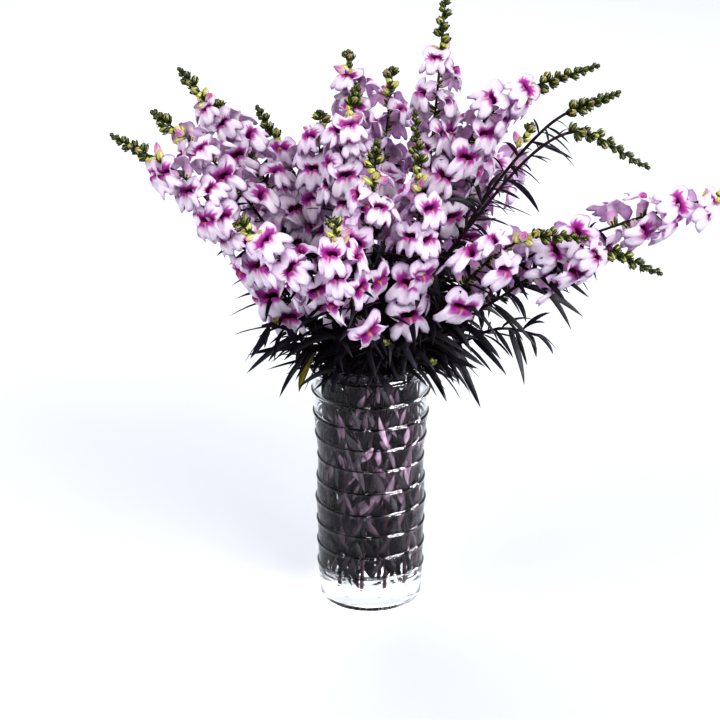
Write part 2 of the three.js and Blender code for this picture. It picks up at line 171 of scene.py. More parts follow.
def cubic(a: Value, b: Value, leaving: Value, reaching: Value, w: Value) -> Value:
    """Reads a smooth curve between two values.

    Args:
        a: The curve's start.
        b: Its end.
        leaving: Its slope at the start.
        reaching: Its slope at the end.
        w: The share of the way, 0 to 1.

    Returns:
        The value there.
    """
    return ((2 * a - 2 * b + leaving + reaching) * w**3
            + (3 * b - 3 * a - 2 * leaving - reaching) * w**2 + leaving * w + a)


def unit(v: np.ndarray) -> np.ndarray:
    """The vector at length one."""
    return v / np.linalg.norm(v)


def polar(radius: float, degrees: float, z: float) -> np.ndarray:
    """A point at a radius and an angle round the vase's axis."""
    a = math.radians(degrees)
    return np.array([radius * math.cos(a), radius * math.sin(a), z])


def arc(start: int, stop: int, step: int) -> list[tuple[float, float]]:
    """The cosine and sine of each angle from start to before stop, in degrees."""
    angles = [math.radians(degrees) for degrees in range(start, stop, step)]
    return [(math.cos(a), math.sin(a)) for a in angles]


def dyed(colour: np.ndarray, count: int) -> np.ndarray:
    """One colour repeated for a number of points."""
    return np.tile(colour, (count, 1))


def blend_dyes(a: np.ndarray, b: np.ndarray, share: np.ndarray) -> np.ndarray:
    """Mixes two colours, or rows of colours, point by point.

    Args:
        a: A colour, or a row of colours.
        b: A colour, or a row of colours.
        share: How much of b each point takes, 0 to 1.

    Returns:
        A row of colours.
    """
    part = np.asarray(share)[:, None]
    return a * (1 - part) + b * part


# ---------------------------------------------------------------- the stalks


@dataclass(frozen=True)
class Growth:
    """One stalk: where it stands, the points that it passes, and what it carries.

    knots are the points above the vase. tip and head are lengths in mm, and blooms, buds and leaves
    are counts. A stalk with own_tip False keeps its few top buds in its flower head. Its paleness
    value sets how bright its petals' colours are: partly how white they are, partly painted shade
    that darkens the stalks at the back of the bouquet. fill is how many more blooms stand after
    each of its spiral's, from 0 to 2, times low_fill at the foot of the flower head.
    """

    name: str
    stand: Stand
    angle: float
    knots: tuple[Point, ...]
    tip: float = 0
    head: float = 0
    blooms: int = 0
    buds: int = 0
    leaves: int = 0
    own_tip: bool = True
    pale_and_lit: float = 0.5
    fill: float = 1.0
    low_fill: float = 0.6


WALL, INNER, CORE = Stand
STALKS = (
    Growth("01", WALL, 205, ((-115, -45, 405), (-190, -40, 500), (-270, -35, 550)),
           tip=46, head=250, blooms=12, buds=8, leaves=3),
    Growth("02", WALL, 168, ((-100, 0, 415), (-165, -5, 510), (-230, 0, 565)),
           tip=28, head=195, blooms=9, buds=6, leaves=4, pale_and_lit=0.3),
    Growth("03", INNER, 125, ((-75, 50, 400), (-140, 60, 510), (-205, 60, 595)),
           tip=34, head=205, blooms=9, buds=6, leaves=3, pale_and_lit=0.15, fill=1.6),
    Growth("04", WALL, 118, ((-45, 90, 380), (-90, 115, 470), (-125, 120, 535)),
           tip=42, head=130, blooms=6, buds=7, leaves=4, pale_and_lit=0.3),
    Growth("05", WALL, 238, ((-55, -100, 405), (-90, -125, 445), (-135, -140, 490)),
           tip=12, head=150, blooms=7, buds=3, leaves=3, own_tip=False, pale_and_lit=0.9, fill=0.6,
           low_fill=0.2),
    Growth("06", INNER, 75, ((-15, 55, 415), (-15, 70, 525), (-25, 75, 610)),
           tip=14, head=205, blooms=9, buds=3, leaves=3, own_tip=False, pale_and_lit=0.2, fill=1.6,
           low_fill=1.1),
    Growth("07", CORE, 180, ((-25, 0, 410), (-30, 5, 505), (-15, 10, 590)),
           tip=26, head=165, blooms=8, buds=6, leaves=2, own_tip=False, fill=2.0, low_fill=1.0),
    Growth("08", INNER, 250, ((-10, -85, 420), (0, -100, 495), (5, -105, 565)),
           tip=32, head=150, blooms=7, buds=6, leaves=3, pale_and_lit=0.8, fill=0.5, low_fill=0.1),
    Growth("09", INNER, 300, ((35, -60, 380), (50, -75, 480), (45, -70, 585)),
           tip=66, head=165, blooms=9, buds=9, leaves=3, pale_and_lit=0.9, fill=0.8, low_fill=0.1),
    Growth("10", INNER, 42, ((55, 60, 425), (70, 70, 550), (80, 70, 680)),
           tip=60, head=230, blooms=10, buds=8, leaves=3, pale_and_lit=0.4, fill=1.5, low_fill=1.2),
    Growth("11", WALL, 25, ((85, 50, 465), (140, 50, 560), (240, 40, 605)),
           tip=70, head=190, blooms=10, buds=11, leaves=4, pale_and_lit=0.6, fill=0.9, low_fill=1.0),
    Growth("12", INNER, 5, ((100, 20, 425), (185, 10, 545), (260, 5, 585)),
           tip=62, buds=12, leaves=6),
    Growth("13", CORE, 0, ((115, -10, 455), (205, -25, 550), (290, -30, 515)),
           tip=96, buds=13, leaves=6),
    Growth("14", WALL, 357, ((115, -45, 390), (260, -70, 465), (385, -80, 505)),
           tip=26, head=245, blooms=12, buds=6, leaves=4, pale_and_lit=0.8, fill=0.9),
    Growth("15", WALL, 300, ((90, -85, 395), (155, -105, 460), (220, -115, 465)),
           tip=58, head=110, blooms=6, buds=9, leaves=3, pale_and_lit=0.8, fill=0.4),
    Growth("16", WALL, 330, ((145, -60, 385), (230, -85, 440), (300, -95, 420)),
           tip=62, head=90, blooms=5, buds=9, leaves=5, pale_and_lit=0.7, fill=0.3),
    Growth("17", INNER, 170, ((-40, 30, 400), (-55, 45, 475), (-55, 50, 550)),
           tip=14, head=165, blooms=8, buds=3, leaves=3, own_tip=False, pale_and_lit=0.6, fill=1.6),
    Growth("18", WALL, 270, ((-20, -115, 390), (-30, -140, 450), (-40, -150, 495)),
           tip=12, head=130, blooms=7, buds=3, leaves=3, own_tip=False, pale_and_lit=1.0, fill=0.3,
           low_fill=0.1),
    Growth("19", WALL, 49, ((90, 60, 365), (110, 95, 440), (120, 115, 515)),
           tip=14, head=150, blooms=7, buds=3, leaves=3, own_tip=False, pale_and_lit=0.6, fill=0.8),
    Growth("20", WALL, 143, ((-80, 90, 360), (-140, 160, 450), (-175, 195, 520)),
           tip=14, head=170, blooms=7, buds=3, leaves=4, own_tip=False, pale_and_lit=0.4, fill=1.6),
    Growth("21", WALL, 95, ((0, 100, 370), (15, 160, 470), (25, 190, 560)),
           tip=14, head=190, blooms=7, buds=3, leaves=4, own_tip=False, fill=2.0, low_fill=0.9),
    Growth("22", WALL, 72, ((80, 110, 350), (140, 170, 430), (185, 205, 490)),
           tip=14, head=165, blooms=6, buds=3, leaves=4, own_tip=False, fill=0.2),
)
SHOOTS = (
    Growth("right", INNER, 335, ((95, -20, 310), (140, -25, 330), (185, -35, 325)),
           leaves=11),
    Growth("back_right", WALL, 60.5, ((80, 75, 315), (110, 100, 335), (140, 125, 340)),
           leaves=9),
    Growth("left", INNER, 210, ((-65, -45, 315), (-90, -65, 345), (-115, -80, 355)),
           leaves=10),
)


@dataclass(frozen=True)
class Station:
    """A place on a stem: its point, its direction and two directions across it."""

    point: np.ndarray
    tangent: np.ndarray
    back: np.ndarray
    side: np.ndarray

    def radial(self, angle: float) -> np.ndarray:
        """The direction at an angle round the stem."""
        return self.back * math.cos(angle) + self.side * math.sin(angle)

    def drawn_angle(self, angle: float, pull: float = 0.5, heart_y: float = 60) -> float:
        """The angle drawn towards the side of the stem that faces out of the bouquet.

        Args:
            angle: The angle round the stem, in radians.
            pull: How strongly it is drawn.
            heart_y: How far behind the vase's axis the bouquet's heart lies.

        Returns:
            The new angle.
        """
        facing = np.array([self.point[0], self.point[1] - heart_y, 0])
        outward = math.atan2(facing @ self.side, facing @ self.back)
        return angle + pull * math.sin(outward - angle)


class StalkPath:
    """The smooth line of a stalk from its cut foot in the vase to its tip."""

    FOOT_Z = 24.6
    NECK_Z = RIM_Z - 20
    TWIST_DEG = 12.0
    DIVISIONS = 200

    def __init__(self, growth: Growth) -> None:
        """Lays the line.

        Args:
            growth: The stalk whose foot, neck and knots it passes.
        """
        radius = growth.stand.value
        foot = polar(radius, growth.angle - self.TWIST_DEG, self.FOOT_Z)
        neck = polar(radius, growth.angle, self.NECK_Z)
        knots = [foot, neck, *(np.array(knot, float) for knot in growth.knots)]
        self.knots = [2 * foot - neck, *knots, 2 * knots[-1] - knots[-2]]
        self.spans = len(knots) - 1
        samples = [self._at_share(i / self.DIVISIONS) for i in range(self.DIVISIONS + 1)]
        steps = np.linalg.norm(np.diff(np.array(samples), axis=0), axis=1)
        self.lengths = np.concatenate([[0], np.cumsum(steps)])
        self.total = float(self.lengths[-1])
        self.mouth = self.length_at_height(RIM_Z)

    def _at_share(self, t: float) -> np.ndarray:
        """Reads the uniform Catmull-Rom line through the knots.

        Args:
            t: The share of its spans, 0 to 1.

        Returns:
            The point there.
        """
        place = t * self.spans
        span = min(int(place), self.spans - 1)
        before, start, end, after = self.knots[span:span + 4]
        return cubic(start, end, (end - before) / 2, (after - start) / 2, place - span)

    def _share_of(self, length: float) -> float:
        """The share of the spans at which the line reaches a length."""
        return float(np.interp(length, self.lengths, np.linspace(0, 1, self.DIVISIONS + 1)))

    def length_at_height(self, z: float) -> float:
        """Finds where the line first rises past a height.

        Args:
            z: The height.

        Returns:
            The length from the foot, or the whole length if the line never rises so high.
        """
        for i in range(self.DIVISIONS + 1):
            length = self.total * i / self.DIVISIONS
            if self._at_share(self._share_of(length))[2] >= z:
                return length
        return self.total

    def station(self, length: float, step: float = 1e-4) -> Station:
        """Measures the line at a length from the foot.

        Args:
            length: The length, which is kept within the line.
            step: The share of the spans to each side over which the direction is taken.

        Returns:
            The place there.
        """
        t = self._share_of(min(max(length, 0), self.total))
        tangent = unit(self._at_share(min(t + step, 1)) - self._at_share(max(t - step, 0)))
        back = unit(Y_AXIS - tangent * tangent[1])
        return Station(self._at_share(t), tangent, back, np.cross(tangent, back))


def outward_basis(station: Station, angle: float, rise_deg: float) -> np.ndarray:
    """The frame of a bloom or bud as three rows: across, out of the stem, and up.

    Args:
        station: The place on the stem that it grows from.
        angle: The angle round the stem, in radians.
        rise_deg: How far it leans towards the tip.

    Returns:
        A 3 by 3 array of row vectors.
    """
    rise = math.radians(rise_deg)
    out = station.radial(angle) * math.cos(rise) + station.tangent * math.sin(rise)
    up = station.tangent * 0.75 + Z_AXIS * 0.25
    up = unit(up - out * (up @ out))
    return np.array([np.cross(out, up), out, up])


def rolled(basis: np.ndarray, angle: float) -> np.ndarray:
    """Turns a frame about its second axis.

    Args:
        basis: A 3 by 3 array of row vectors.
        angle: The angle, in radians.

    Returns:
        The new frame.
    """
    across, out, up = basis
    c, s = math.cos(angle), math.sin(angle)
    return np.array([across * c + up * s, out, up * c - across * s])


# ---------------------------------------------------------------- finishes


class Wiring:
    """A node material being wired up."""

    def __init__(self, name: str) -> None:
        """Starts an empty material with an output.

        Args:
            name: The material's name.
        """
        self.material = bpy.data.materials.new(name)
        self.material.use_nodes = True
        self.tree = self.material.node_tree
        self.tree.nodes.clear()
        self.output = self.add("ShaderNodeOutputMaterial")

    def add(self, kind: str, **settings: Any) -> bpy.types.Node:
        """Adds a node.

        Args:
            kind: The node's type name.
            **settings: Values of its properties, or of the input sockets that have these names
                with a space for each underscore.

        Returns:
            The new node.
        """
        node = self.tree.nodes.new(kind)
        for name, value in settings.items():
            if hasattr(node, name):
                setattr(node, name, value)
            else:
                node.inputs[name.replace("_", " ")].default_value = value
        return node

    def link(self, source: bpy.types.NodeSocket, target: bpy.types.NodeSocket) -> None:
        """Joins two sockets."""
        self.tree.links.new(source, target)

    def attribute(self, name: str, output: str) -> bpy.types.NodeSocket:
        """Adds an attribute of the mesh and returns one of its outputs."""
        return self.add("ShaderNodeAttribute", attribute_name=name).outputs[output]

    def noise(self, scale: float, detail: float,
              source: bpy.types.NodeSocket | None = None) -> bpy.types.NodeSocket:
        """Adds a noise.

        Args:
            scale: Its scale.
            detail: How many finer layers it has.
            source: Where its coordinates come from, which is object space if none is given.

        Returns:
            Its factor.
        """
        node = self.add("ShaderNodeTexNoise", Scale=scale, Detail=detail)
        if source is None:
            source = self.add("ShaderNodeTexCoord").outputs["Object"]
        self.link(source, node.inputs["Vector"])
        return node.outputs["Fac"]

    def ranged(self, value: bpy.types.NodeSocket, low: float, high: float) -> bpy.types.NodeSocket:
        """Maps a noise's factor, which is mostly 0.3 to 0.7, onto another range.

        Args:
            value: The factor.
            low: What 0.3 becomes.
            high: What 0.7 becomes.

        Returns:
            The result.
        """
        node = self.add("ShaderNodeMapRange", From_Min=0.3, From_Max=0.7, To_Min=low, To_Max=high)
        self.link(value, node.inputs["Value"])
        return node.outputs["Result"]

    def bump(self, height: bpy.types.NodeSocket, depth_mm: float, strength: float = 0.5,
             over: bpy.types.NodeSocket | None = None) -> bpy.types.NodeSocket:
        """Adds a bump.

        Args:
            height: The socket that raises it.
            depth_mm: Its depth.
            strength: How much of it shows, 0 to 1.
            over: The normal of another bump that it lies on.

        Returns:
            Its normal.
        """
        node = self.add("ShaderNodeBump", Distance=depth_mm * MM, Strength=strength)
        self.link(height, node.inputs["Height"])
        if over is not None:
            self.link(over, node.inputs["Normal"])
        return node.outputs["Normal"]

    def blend(self, first: bpy.types.Node, second: bpy.types.Node, mixer: bpy.types.Node) -> None:
        """Makes the surface of two shaders.

        Args:
            first: The shader that shows where the mixer's factor is 0.
            second: The shader that shows where it is 1.
            mixer: The node that mixes them.
        """
        self.link(first.outputs[0], mixer.inputs[1])
        self.link(second.outputs[0], mixer.inputs[2])
        self.link(mixer.outputs[0], self.output.inputs["Surface"])


@dataclass(frozen=True)
class ClearFinish:
    """Clear glass or water, which lets light through to what stands in it.

    A dyed one has the mesh's dye over its tint: on the vase the dye is white but for the painted
    shade lines above its rings. roughest is its roughness at the tops of its ripples.
    """

    tint: Tint
    ior: float
    gloss: float
    ripple_mm: float
    ripple_scale: float
    dyed: bool = False
    roughest: float = 0.012

    def build(self, name: str) -> bpy.types.Material:
        """Makes the material.

        Args:
            name: The material's name.

        Returns:
            The material.
        """
        wiring = Wiring(name)
        shader = wiring.add("ShaderNodeBsdfPrincipled", IOR=self.ior, Transmission_Weight=1.0,
                            Base_Color=(*self.tint, 1), Specular_IOR_Level=self.gloss)
        if self.dyed:
            shade = wiring.add("ShaderNodeVectorMath", operation="MULTIPLY")
            wiring.link(wiring.attribute("dye", "Color"), shade.inputs[0])
            shade.inputs[1].default_value = self.tint
            wiring.link(shade.outputs[0], shader.inputs["Base Color"])
        ripple = wiring.noise(self.ripple_scale, 2)
        wiring.link(wiring.ranged(ripple, 0.0, self.roughest), shader.inputs["Roughness"])
        wiring.link(wiring.bump(ripple, self.ripple_mm), shader.inputs["Normal"])
        lit = wiring.add("ShaderNodeBsdfTransparent", Color=(*self.tint, 1))
        both = wiring.add("ShaderNodeMixShader")
        wiring.link(wiring.add("ShaderNodeLightPath").outputs["Is Shadow Ray"], both.inputs[0])
        wiring.blend(shader, lit, both)
        return wiring.material


@dataclass(frozen=True)
class PlantFinish:
    """A living surface whose colour comes from the mesh's dye, with blotches and veins over it.

    blotch is how far the blotches lighten and darken the dye. veins is how many run side by side
    across the part, vein_run how often they break along it, and vein_depth how dark they are.
    smooth and rough are the roughness that it varies between. glow is the share of light that
    passes through.
    """

    blotch: float
    blotch_scale: float
    veins: float
    vein_depth: float
    smooth: float
    rough: float
    bump_mm: float
    gloss: float
    glow: float = 0.0
    glow_tint: Tint = (1.0, 1.0, 1.0)
    sheen: float = 0.0
    crumple_mm: float = 0.0
    vein_run: float = 1.2

    def build(self, name: str) -> bpy.types.Material:
        """Makes the material.

        Args:
            name: The material's name.

        Returns:
            The material.
        """
        wiring = Wiring(name)
        dye, lie = wiring.attribute("dye", "Color"), wiring.attribute("lie", "Vector")
        stretch = wiring.add("ShaderNodeMapping", Scale=(self.veins, self.vein_run, 1))
        wiring.link(lie, stretch.inputs["Vector"])
        vein = wiring.noise(1.0, 2, stretch.outputs["Vector"])
        blotch = wiring.noise(self.blotch_scale, 4)
        tone = wiring.add("ShaderNodeMath", operation="MULTIPLY")
        blotches = wiring.ranged(blotch, 1 - self.blotch, 1 + self.blotch)
        wiring.link(blotches, tone.inputs[0])
        veins = wiring.ranged(vein, 1 - self.vein_depth, 1 + self.vein_depth * 0.4)
        wiring.link(veins, tone.inputs[1])
        shade = wiring.add("ShaderNodeVectorMath", operation="SCALE")
        wiring.link(dye, shade.inputs[0])
        wiring.link(tone.outputs[0], shade.inputs["Scale"])
        shader = wiring.add("ShaderNodeBsdfPrincipled", Sheen_Weight=self.sheen,
                            Specular_IOR_Level=self.gloss)
        wiring.link(shade.outputs[0], shader.inputs["Base Color"])
        wiring.link(wiring.ranged(blotch, self.smooth, self.rough), shader.inputs["Roughness"])
        crumple = wiring.bump(blotch, self.crumple_mm, 0.9) if self.crumple_mm else None
        normal = wiring.bump(vein, self.bump_mm, over=crumple)
        wiring.link(normal, shader.inputs["Normal"])
        if not self.glow:
            wiring.link(shader.outputs["BSDF"], wiring.output.inputs["Surface"])
            return wiring.material
        through = wiring.add("ShaderNodeBsdfTranslucent")
        wiring.link(normal, through.inputs["Normal"])
        tinted = wiring.add("ShaderNodeVectorMath", operation="MULTIPLY")
        tinted.inputs[1].default_value = self.glow_tint
        wiring.link(shade.outputs[0], tinted.inputs[0])
        wiring.link(tinted.outputs[0], through.inputs["Color"])
        wiring.blend(shader, through, wiring.add("ShaderNodeMixShader", Fac=self.glow))
        return wiring.material


FINISHES: dict[Look, ClearFinish | PlantFinish] = {
    Look.GLASS: ClearFinish(tint=(0.98, 0.988, 0.992), ior=1.3, gloss=0.13, ripple_mm=0.05,
                            ripple_scale=30, dyed=True),
    Look.WATER: ClearFinish(tint=(0.965, 0.97, 0.97), ior=1.12, gloss=0.15, ripple_mm=0.02,
                            ripple_scale=60),
    Look.PETAL: PlantFinish(blotch=0.06, blotch_scale=160, veins=26, vein_depth=0.1, smooth=0.5,
                            rough=0.7, bump_mm=0.3, gloss=0.1, glow=0.36,
                            glow_tint=(1.0, 0.68, 1.0), sheen=0.06, crumple_mm=0.7),
    Look.LEAF: PlantFinish(blotch=0.3, blotch_scale=120, veins=7, vein_depth=0.35, smooth=0.56,
                           rough=0.76, bump_mm=0.2, gloss=0.1, glow=0.05),
    Look.WET_LEAF: PlantFinish(blotch=0.35, blotch_scale=110, veins=6, vein_depth=0.45, smooth=0.5,
                               rough=0.7, bump_mm=0.25, gloss=0.0, glow=0.1),
    Look.STEM: PlantFinish(blotch=0.25, blotch_scale=240, veins=12, vein_depth=0.3, smooth=0.45,
                           rough=0.7, bump_mm=0.15, gloss=0.06),
    Look.BUD: PlantFinish(blotch=0.18, blotch_scale=300, veins=10, vein_depth=0.2, smooth=0.4,
                          rough=0.6, bump_mm=0.12, gloss=0.14, glow=0.1),
}


class Materials:
    """The material of every look, each made once."""

    def __init__(self) -> None:
        """Makes the materials."""
        self.by_look = {look: finish.build(look.value) for look, finish in FINISHES.items()}

    def of(self, look: Look) -> bpy.types.Material:
        """The material of a look."""
        return self.by_look[look]


# ---------------------------------------------------------------- meshes


def grid_faces(rows: int, columns: int, closed: bool = True) -> np.ndarray:
    """The quads of a grid of points given row by row.

    Args:
        rows: How many rows of points there are.
        columns: How many points a row has.
        closed: Whether each row's last point joins its first.

    Returns:
        An array of quads.
    """
    reach = columns if closed else columns - 1
    i, j = np.meshgrid(np.arange(rows - 1), np.arange(reach), indexing="ij")
    a, b = i * columns + j, i * columns + (j + 1) % columns
    return np.stack([a, b, b + columns, a + columns], axis=-1).reshape(-1, 4)


def fan(hub: int, first: int, sides: int, inward: bool) -> np.ndarray:
    """Triangles from a hub point to a ring of points.

    Args:
        hub: The hub's number.
        first: The number of the ring's first point.
        sides: How many points the ring has.
        inward: Whether the fan closes the start of a tube, facing back along it.

    Returns:
        An array of triangles.
    """
    k = np.arange(sides)
    here, there = first + k, first + (k + 1) % sides
    ends = (there, here) if inward else (here, there)
    return np.stack([np.full(sides, hub), *ends], axis=1)


@dataclass
class Patch:
    """A bit of surface: points in mm, faces, a dye and a lie (across, along) for each point."""

    points: np.ndarray
    faces: list[np.ndarray]
    dyes: np.ndarray
    lies: np.ndarray
    look: Look

    def placed(self, basis: np.ndarray, origin: np.ndarray, size: float = 1.0,
               tone: float = 1.0) -> Patch:
        """The patch in another frame.

        Args:
            basis: Row vectors that the patch's own axes turn into.
            origin: Where the patch's own origin goes.
            size: How many times larger it becomes.
            tone: How many times brighter its dyes become.

        Returns:
            The new patch.
        """
        points = self.points * size @ basis + origin
        return Patch(points, self.faces, np.clip(self.dyes * tone, 0, 1), self.lies, self.look)


def lofted(points: Rows, dyes: Rows, lies: Rows, columns: int, look: Look) -> Patch:
    """A closed body through rings of points, with a flat face at each end.

    Args:
        points: The points, ring by ring.
        dyes: Their colours.
        lies: Their lies.
        columns: How many points a ring has.
        look: What it is made of.

    Returns:
        The body.
    """
    count = len(points)
    faces = [grid_faces(count // columns, columns), np.arange(columns)[None, ::-1],
             np.arange(count - columns, count)[None, :]]
    return Patch(np.array(points), faces, np.array(dyes), np.array(lies), look)


def tube(stations: list[Station], radii: list[float], dyes: np.ndarray, sides: int = 8) -> Patch:
    """A round closed stem.

    Args:
        stations: Where its rings stand.
        radii: The radius of each ring.
        dyes: The colour of each ring.
        sides: How many points a ring has.

    Returns:
        The stem, with a point at the middle of each end.
    """
    turns = [2 * math.pi * k / sides for k in range(sides)]
    rings = [s.point + s.radial(a) * r for s, r in zip(stations, radii) for a in turns]
    rows = len(stations)
    lies = [(k / sides, row * 2.0) for row in range(rows) for k in range(sides)]
    faces = [grid_faces(rows, sides), fan(rows * sides, 0, sides, True),
             fan(rows * sides + 1, (rows - 1) * sides, sides, False)]
    points = np.array([*rings, stations[0].point, stations[-1].point])
    colours = np.concatenate([np.repeat(dyes, sides, axis=0), dyes[:1], dyes[-1:]])
    return Patch(points, faces, colours, np.array([*lies, (0, 0), (0, rows)]), Look.STEM)


def lathed(profile: list[tuple[float, float]], segments: int, look: Look) -> Patch:
    """A round body about the vase's axis.

    Args:
        profile: Its (radius, height) rows, which start and end on the axis.
        segments: How many points a ring has.
        look: What it is made of.

    Returns:
        The body, dyed white.
    """
    turns = np.linspace(0, 2 * math.pi, segments, endpoint=False)
    rings = profile[1:-1]
    points = [(r * math.cos(a), r * math.sin(a), z) for r, z in rings for a in turns]
    count = len(points)
    faces = [grid_faces(len(rings), segments), fan(count, 0, segments, True),
             fan(count + 1, count - segments, segments, False)]
    points += [(0, 0, profile[0][1]), (0, 0, profile[-1][1])]
    return Patch(np.array(points), faces, dyed(np.ones(3), count + 2), np.zeros((count + 2, 2)),
                 look)


class Sketch:
    """Gathers the patches of one piece, then makes its object."""

    def __init__(self) -> None:
        """Starts with nothing."""
        self.patches: list[Patch] = []

    def add(self, *patches: Patch) -> None:
        """Adds patches."""
        self.patches.extend(patches)

    def _joined(self, trait: str) -> np.ndarray:
        """One array of all patches' points, dyes or lies."""
        return np.concatenate([getattr(patch, trait) for patch in self.patches])

    def _mesh(self, name: str, looks: tuple[Look, ...]) -> bpy.types.Mesh:
        """Makes the mesh of all patches, with their dyes and lies as attributes.

        Args:
            name: The mesh's name.
            looks: What its material slots hold.

        Returns:
            The mesh, with no materials yet.
        """
        start, corners, sizes, numbers = 0, [], [], []
        for patch in self.patches:
            for group in patch.faces:
                corners.append((group + start).ravel())
                sizes.append(np.full(len(group), group.shape[1]))
                numbers.append(np.full(len(group), looks.index(patch.look)))
            start += len(patch.points)
        corners, sizes = np.concatenate(corners), np.concatenate(sizes)
        mesh = bpy.data.meshes.new(name)
        mesh.vertices.add(start)
        mesh.vertices.foreach_set("co", self._joined("points").ravel() * MM)
        mesh.loops.add(len(corners))
        mesh.loops.foreach_set("vertex_index", corners)
        mesh.polygons.add(len(sizes))
        mesh.polygons.foreach_set("loop_start", np.cumsum(sizes) - sizes)
        mesh.polygons.foreach_set("use_smooth", np.ones(len(sizes), bool))
        mesh.update(calc_edges=True)
        dyes = np.hstack([self._joined("dyes"), np.ones((start, 1))])
        dye = mesh.attributes.new("dye", "FLOAT_COLOR", "POINT")
        dye.data.foreach_set("color", dyes.ravel())
        lies = np.hstack([self._joined("lies"), np.zeros((start, 1))])
        lie = mesh.attributes.new("lie", "FLOAT_VECTOR", "POINT")
        lie.data.foreach_set("vector", lies.ravel())
        mesh.polygons.foreach_set("material_index", np.concatenate(numbers))
        return mesh

    def build(self, name: str, materials: Materials, looks: tuple[Look, ...], slot: Slot,
              *nodes: str) -> None:
        """Makes the object, rides it on the root and lets it stand for its solids.

        Args:
            name: The object's name.
            materials: Where its materials come from.
            looks: The looks that its patches have.
            slot: The record's slot; not used.
            *nodes: The solids that it replaces.
        """
        mesh = self._mesh(name, looks)
        for look in looks:
            mesh.materials.append(materials.of(look))
        mesh.validate()
        piece = bpy.data.objects.new(name, mesh)
        bpy.context.scene.collection.objects.link(piece)
        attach(piece, "root")
        if nodes:
            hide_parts(*nodes)
        LOG.info("%s: %d faces", name, len(mesh.polygons))


# ---------------------------------------------------------------- vase and water


@dataclass
class Vase:
    """The clear vase: a stack of flared rings on a thick foot.

    Each ring is a flare that ends in a bead. A thin band of the glass's outside just above each
    bead is painted dark: painted shade that stands in for the dark lines that refraction draws at
    the rings. Its heights above the ring and the share of light that it lets through are given
    below.
    """

    materials: Materials
    height: float = RIM_Z
    floor: float = 24
    floor_round: float = 9
    wall: float = 3.4
    edge: float = 3
    first_ring: float = 41
    ring_pitch: float = 26.3
    rings: int = 10
    ring_step: float = 1.7
    ring_lap: float = 0.7
    bead: float = 1.5
    bead_inset: float = 1.45
    bead_drop: float = 0.4
    flare_top: float = 2.2
    flare_start: float = 1.6
    punt: float = 2.4
    lip_rise: float = 2
    # The painted shade band above each bead: its lowest and highest height above the ring, and the
    # share of light that it lets through.
    painted_shade_low: float = 0.6
    painted_shade_high: float = 2.5
    painted_shade_tone: float = 0.05
    segments: int = 160
    inside_rows: int = 26
    # The edge of the underside: how far in from the foot's edge, and how high.
    underside: tuple[tuple[float, float], ...] = ((14, 1.68), (9, 0.84), (6.5, 0.1), (5, 0))
    # The outer radius at the rings' edges, by height.
    outline: tuple[tuple[float, float], ...] = (
        (0, 57), (41, 60.5), (93, 61), (116, 62.3), (172, 59.8), (219, 64.2), (251, 66),
        (278, 67.4), (RIM_Z, 66.6))

    def outer(self, z: float) -> float:
        """The outer radius at the rings' edges."""
        heights, radii = zip(*self.outline)
        return float(np.interp(z, heights, radii))

    def inner(self, z: float) -> float:
        """The inner radius."""
        return self.outer(z) - self.ring_step - self.wall

    def floor_corner(self, start: int, stop: int, step: int) -> list[tuple[float, float]]:
        """The rounded corner between the inner wall and the floor.

        Args:
            start: Where on its quarter circle it starts, in degrees.
            stop: Where it stops.
            step: The angle between its points.

        Returns:
            Its (radius, height) rows.
        """
        reach, r = self.inner(self.floor), self.floor_round
        return [(reach - r * (1 - c), self.floor + r * (1 - s)) for c, s in arc(start, stop, step)]

    def _outside(self) -> list[tuple[float, float]]:
        """The section from the middle of the underside to below the rim.

        Returns:
            Its (radius, height) rows.
        """
        foot = self.outer(0)
        rows = [(0.0, self.punt), (foot * 0.5, self.punt * 0.94)]
        rows += [(foot - inset, z) for inset, z in self.underside]
        rows += [(foot - self.edge * (1 - s), self.edge * (1 - c)) for c, s in arc(0, 91, 15)]
        lower = self.edge
        for ring in range(self.rings):
            z = self.first_ring + ring * self.ring_pitch
            step = self.ring_step if ring else 0
            for share in (0.08, 0.35, 0.65, 0.9):
                at = mix(lower, z - self.flare_top, share)
                rows.append((self.outer(at) - mix(step, self.ring_lap, share), at))
            reach = self.outer(z) - self.bead_inset
            rows += [(reach + self.bead * c, z - self.bead_drop + self.bead * s)
                     for c, s in arc(-50, 91, 20)]
            lower = z + self.flare_start
        return [*rows, (self.outer(lower + 6) - 1.2, lower + 6)]

    def profile(self) -> list[tuple[float, float]]:
        """The section, from the middle of the underside round the rim to the middle of the floor.

        Returns:
            Its (radius, height) rows.
        """
        rows = self._outside()
        outer, inner = self.outer(self.height), self.inner(self.height)
        lip, half = (outer + inner) / 2, (outer - inner) / 2
        rows += [(lip + half * c, self.height - self.lip_rise + self.lip_rise * s)
                 for c, s in arc(0, 181, 30)]
        wall = np.linspace(self.height - 8, self.floor + self.floor_round, self.inside_rows)
        rows += [(self.inner(z), float(z)) for z in wall]
        return [*rows, *self.floor_corner(15, 91, 15), (0.0, self.floor)]

    def build(self) -> None:
        """Makes the vase."""
        patch = lathed(self.profile(), self.segments, Look.GLASS)
        x, y, height = patch.points.T
        # Paints a dark shade line into the glass's dye in a thin band above each bead, on the
        # outside only.
        outside = np.hypot(x, y) > self.inner(0) + 3
        for ring in range(self.rings):
            above = height - self.first_ring - ring * self.ring_pitch
            painted_shade = (above > self.painted_shade_low) & (above < self.painted_shade_high) & outside
            patch.dyes[painted_shade] *= self.painted_shade_tone
        sketch = Sketch()
        sketch.add(patch)
        sketch.build("glass_vase", self.materials, (Look.GLASS,), Slot.GLASS, "vase")


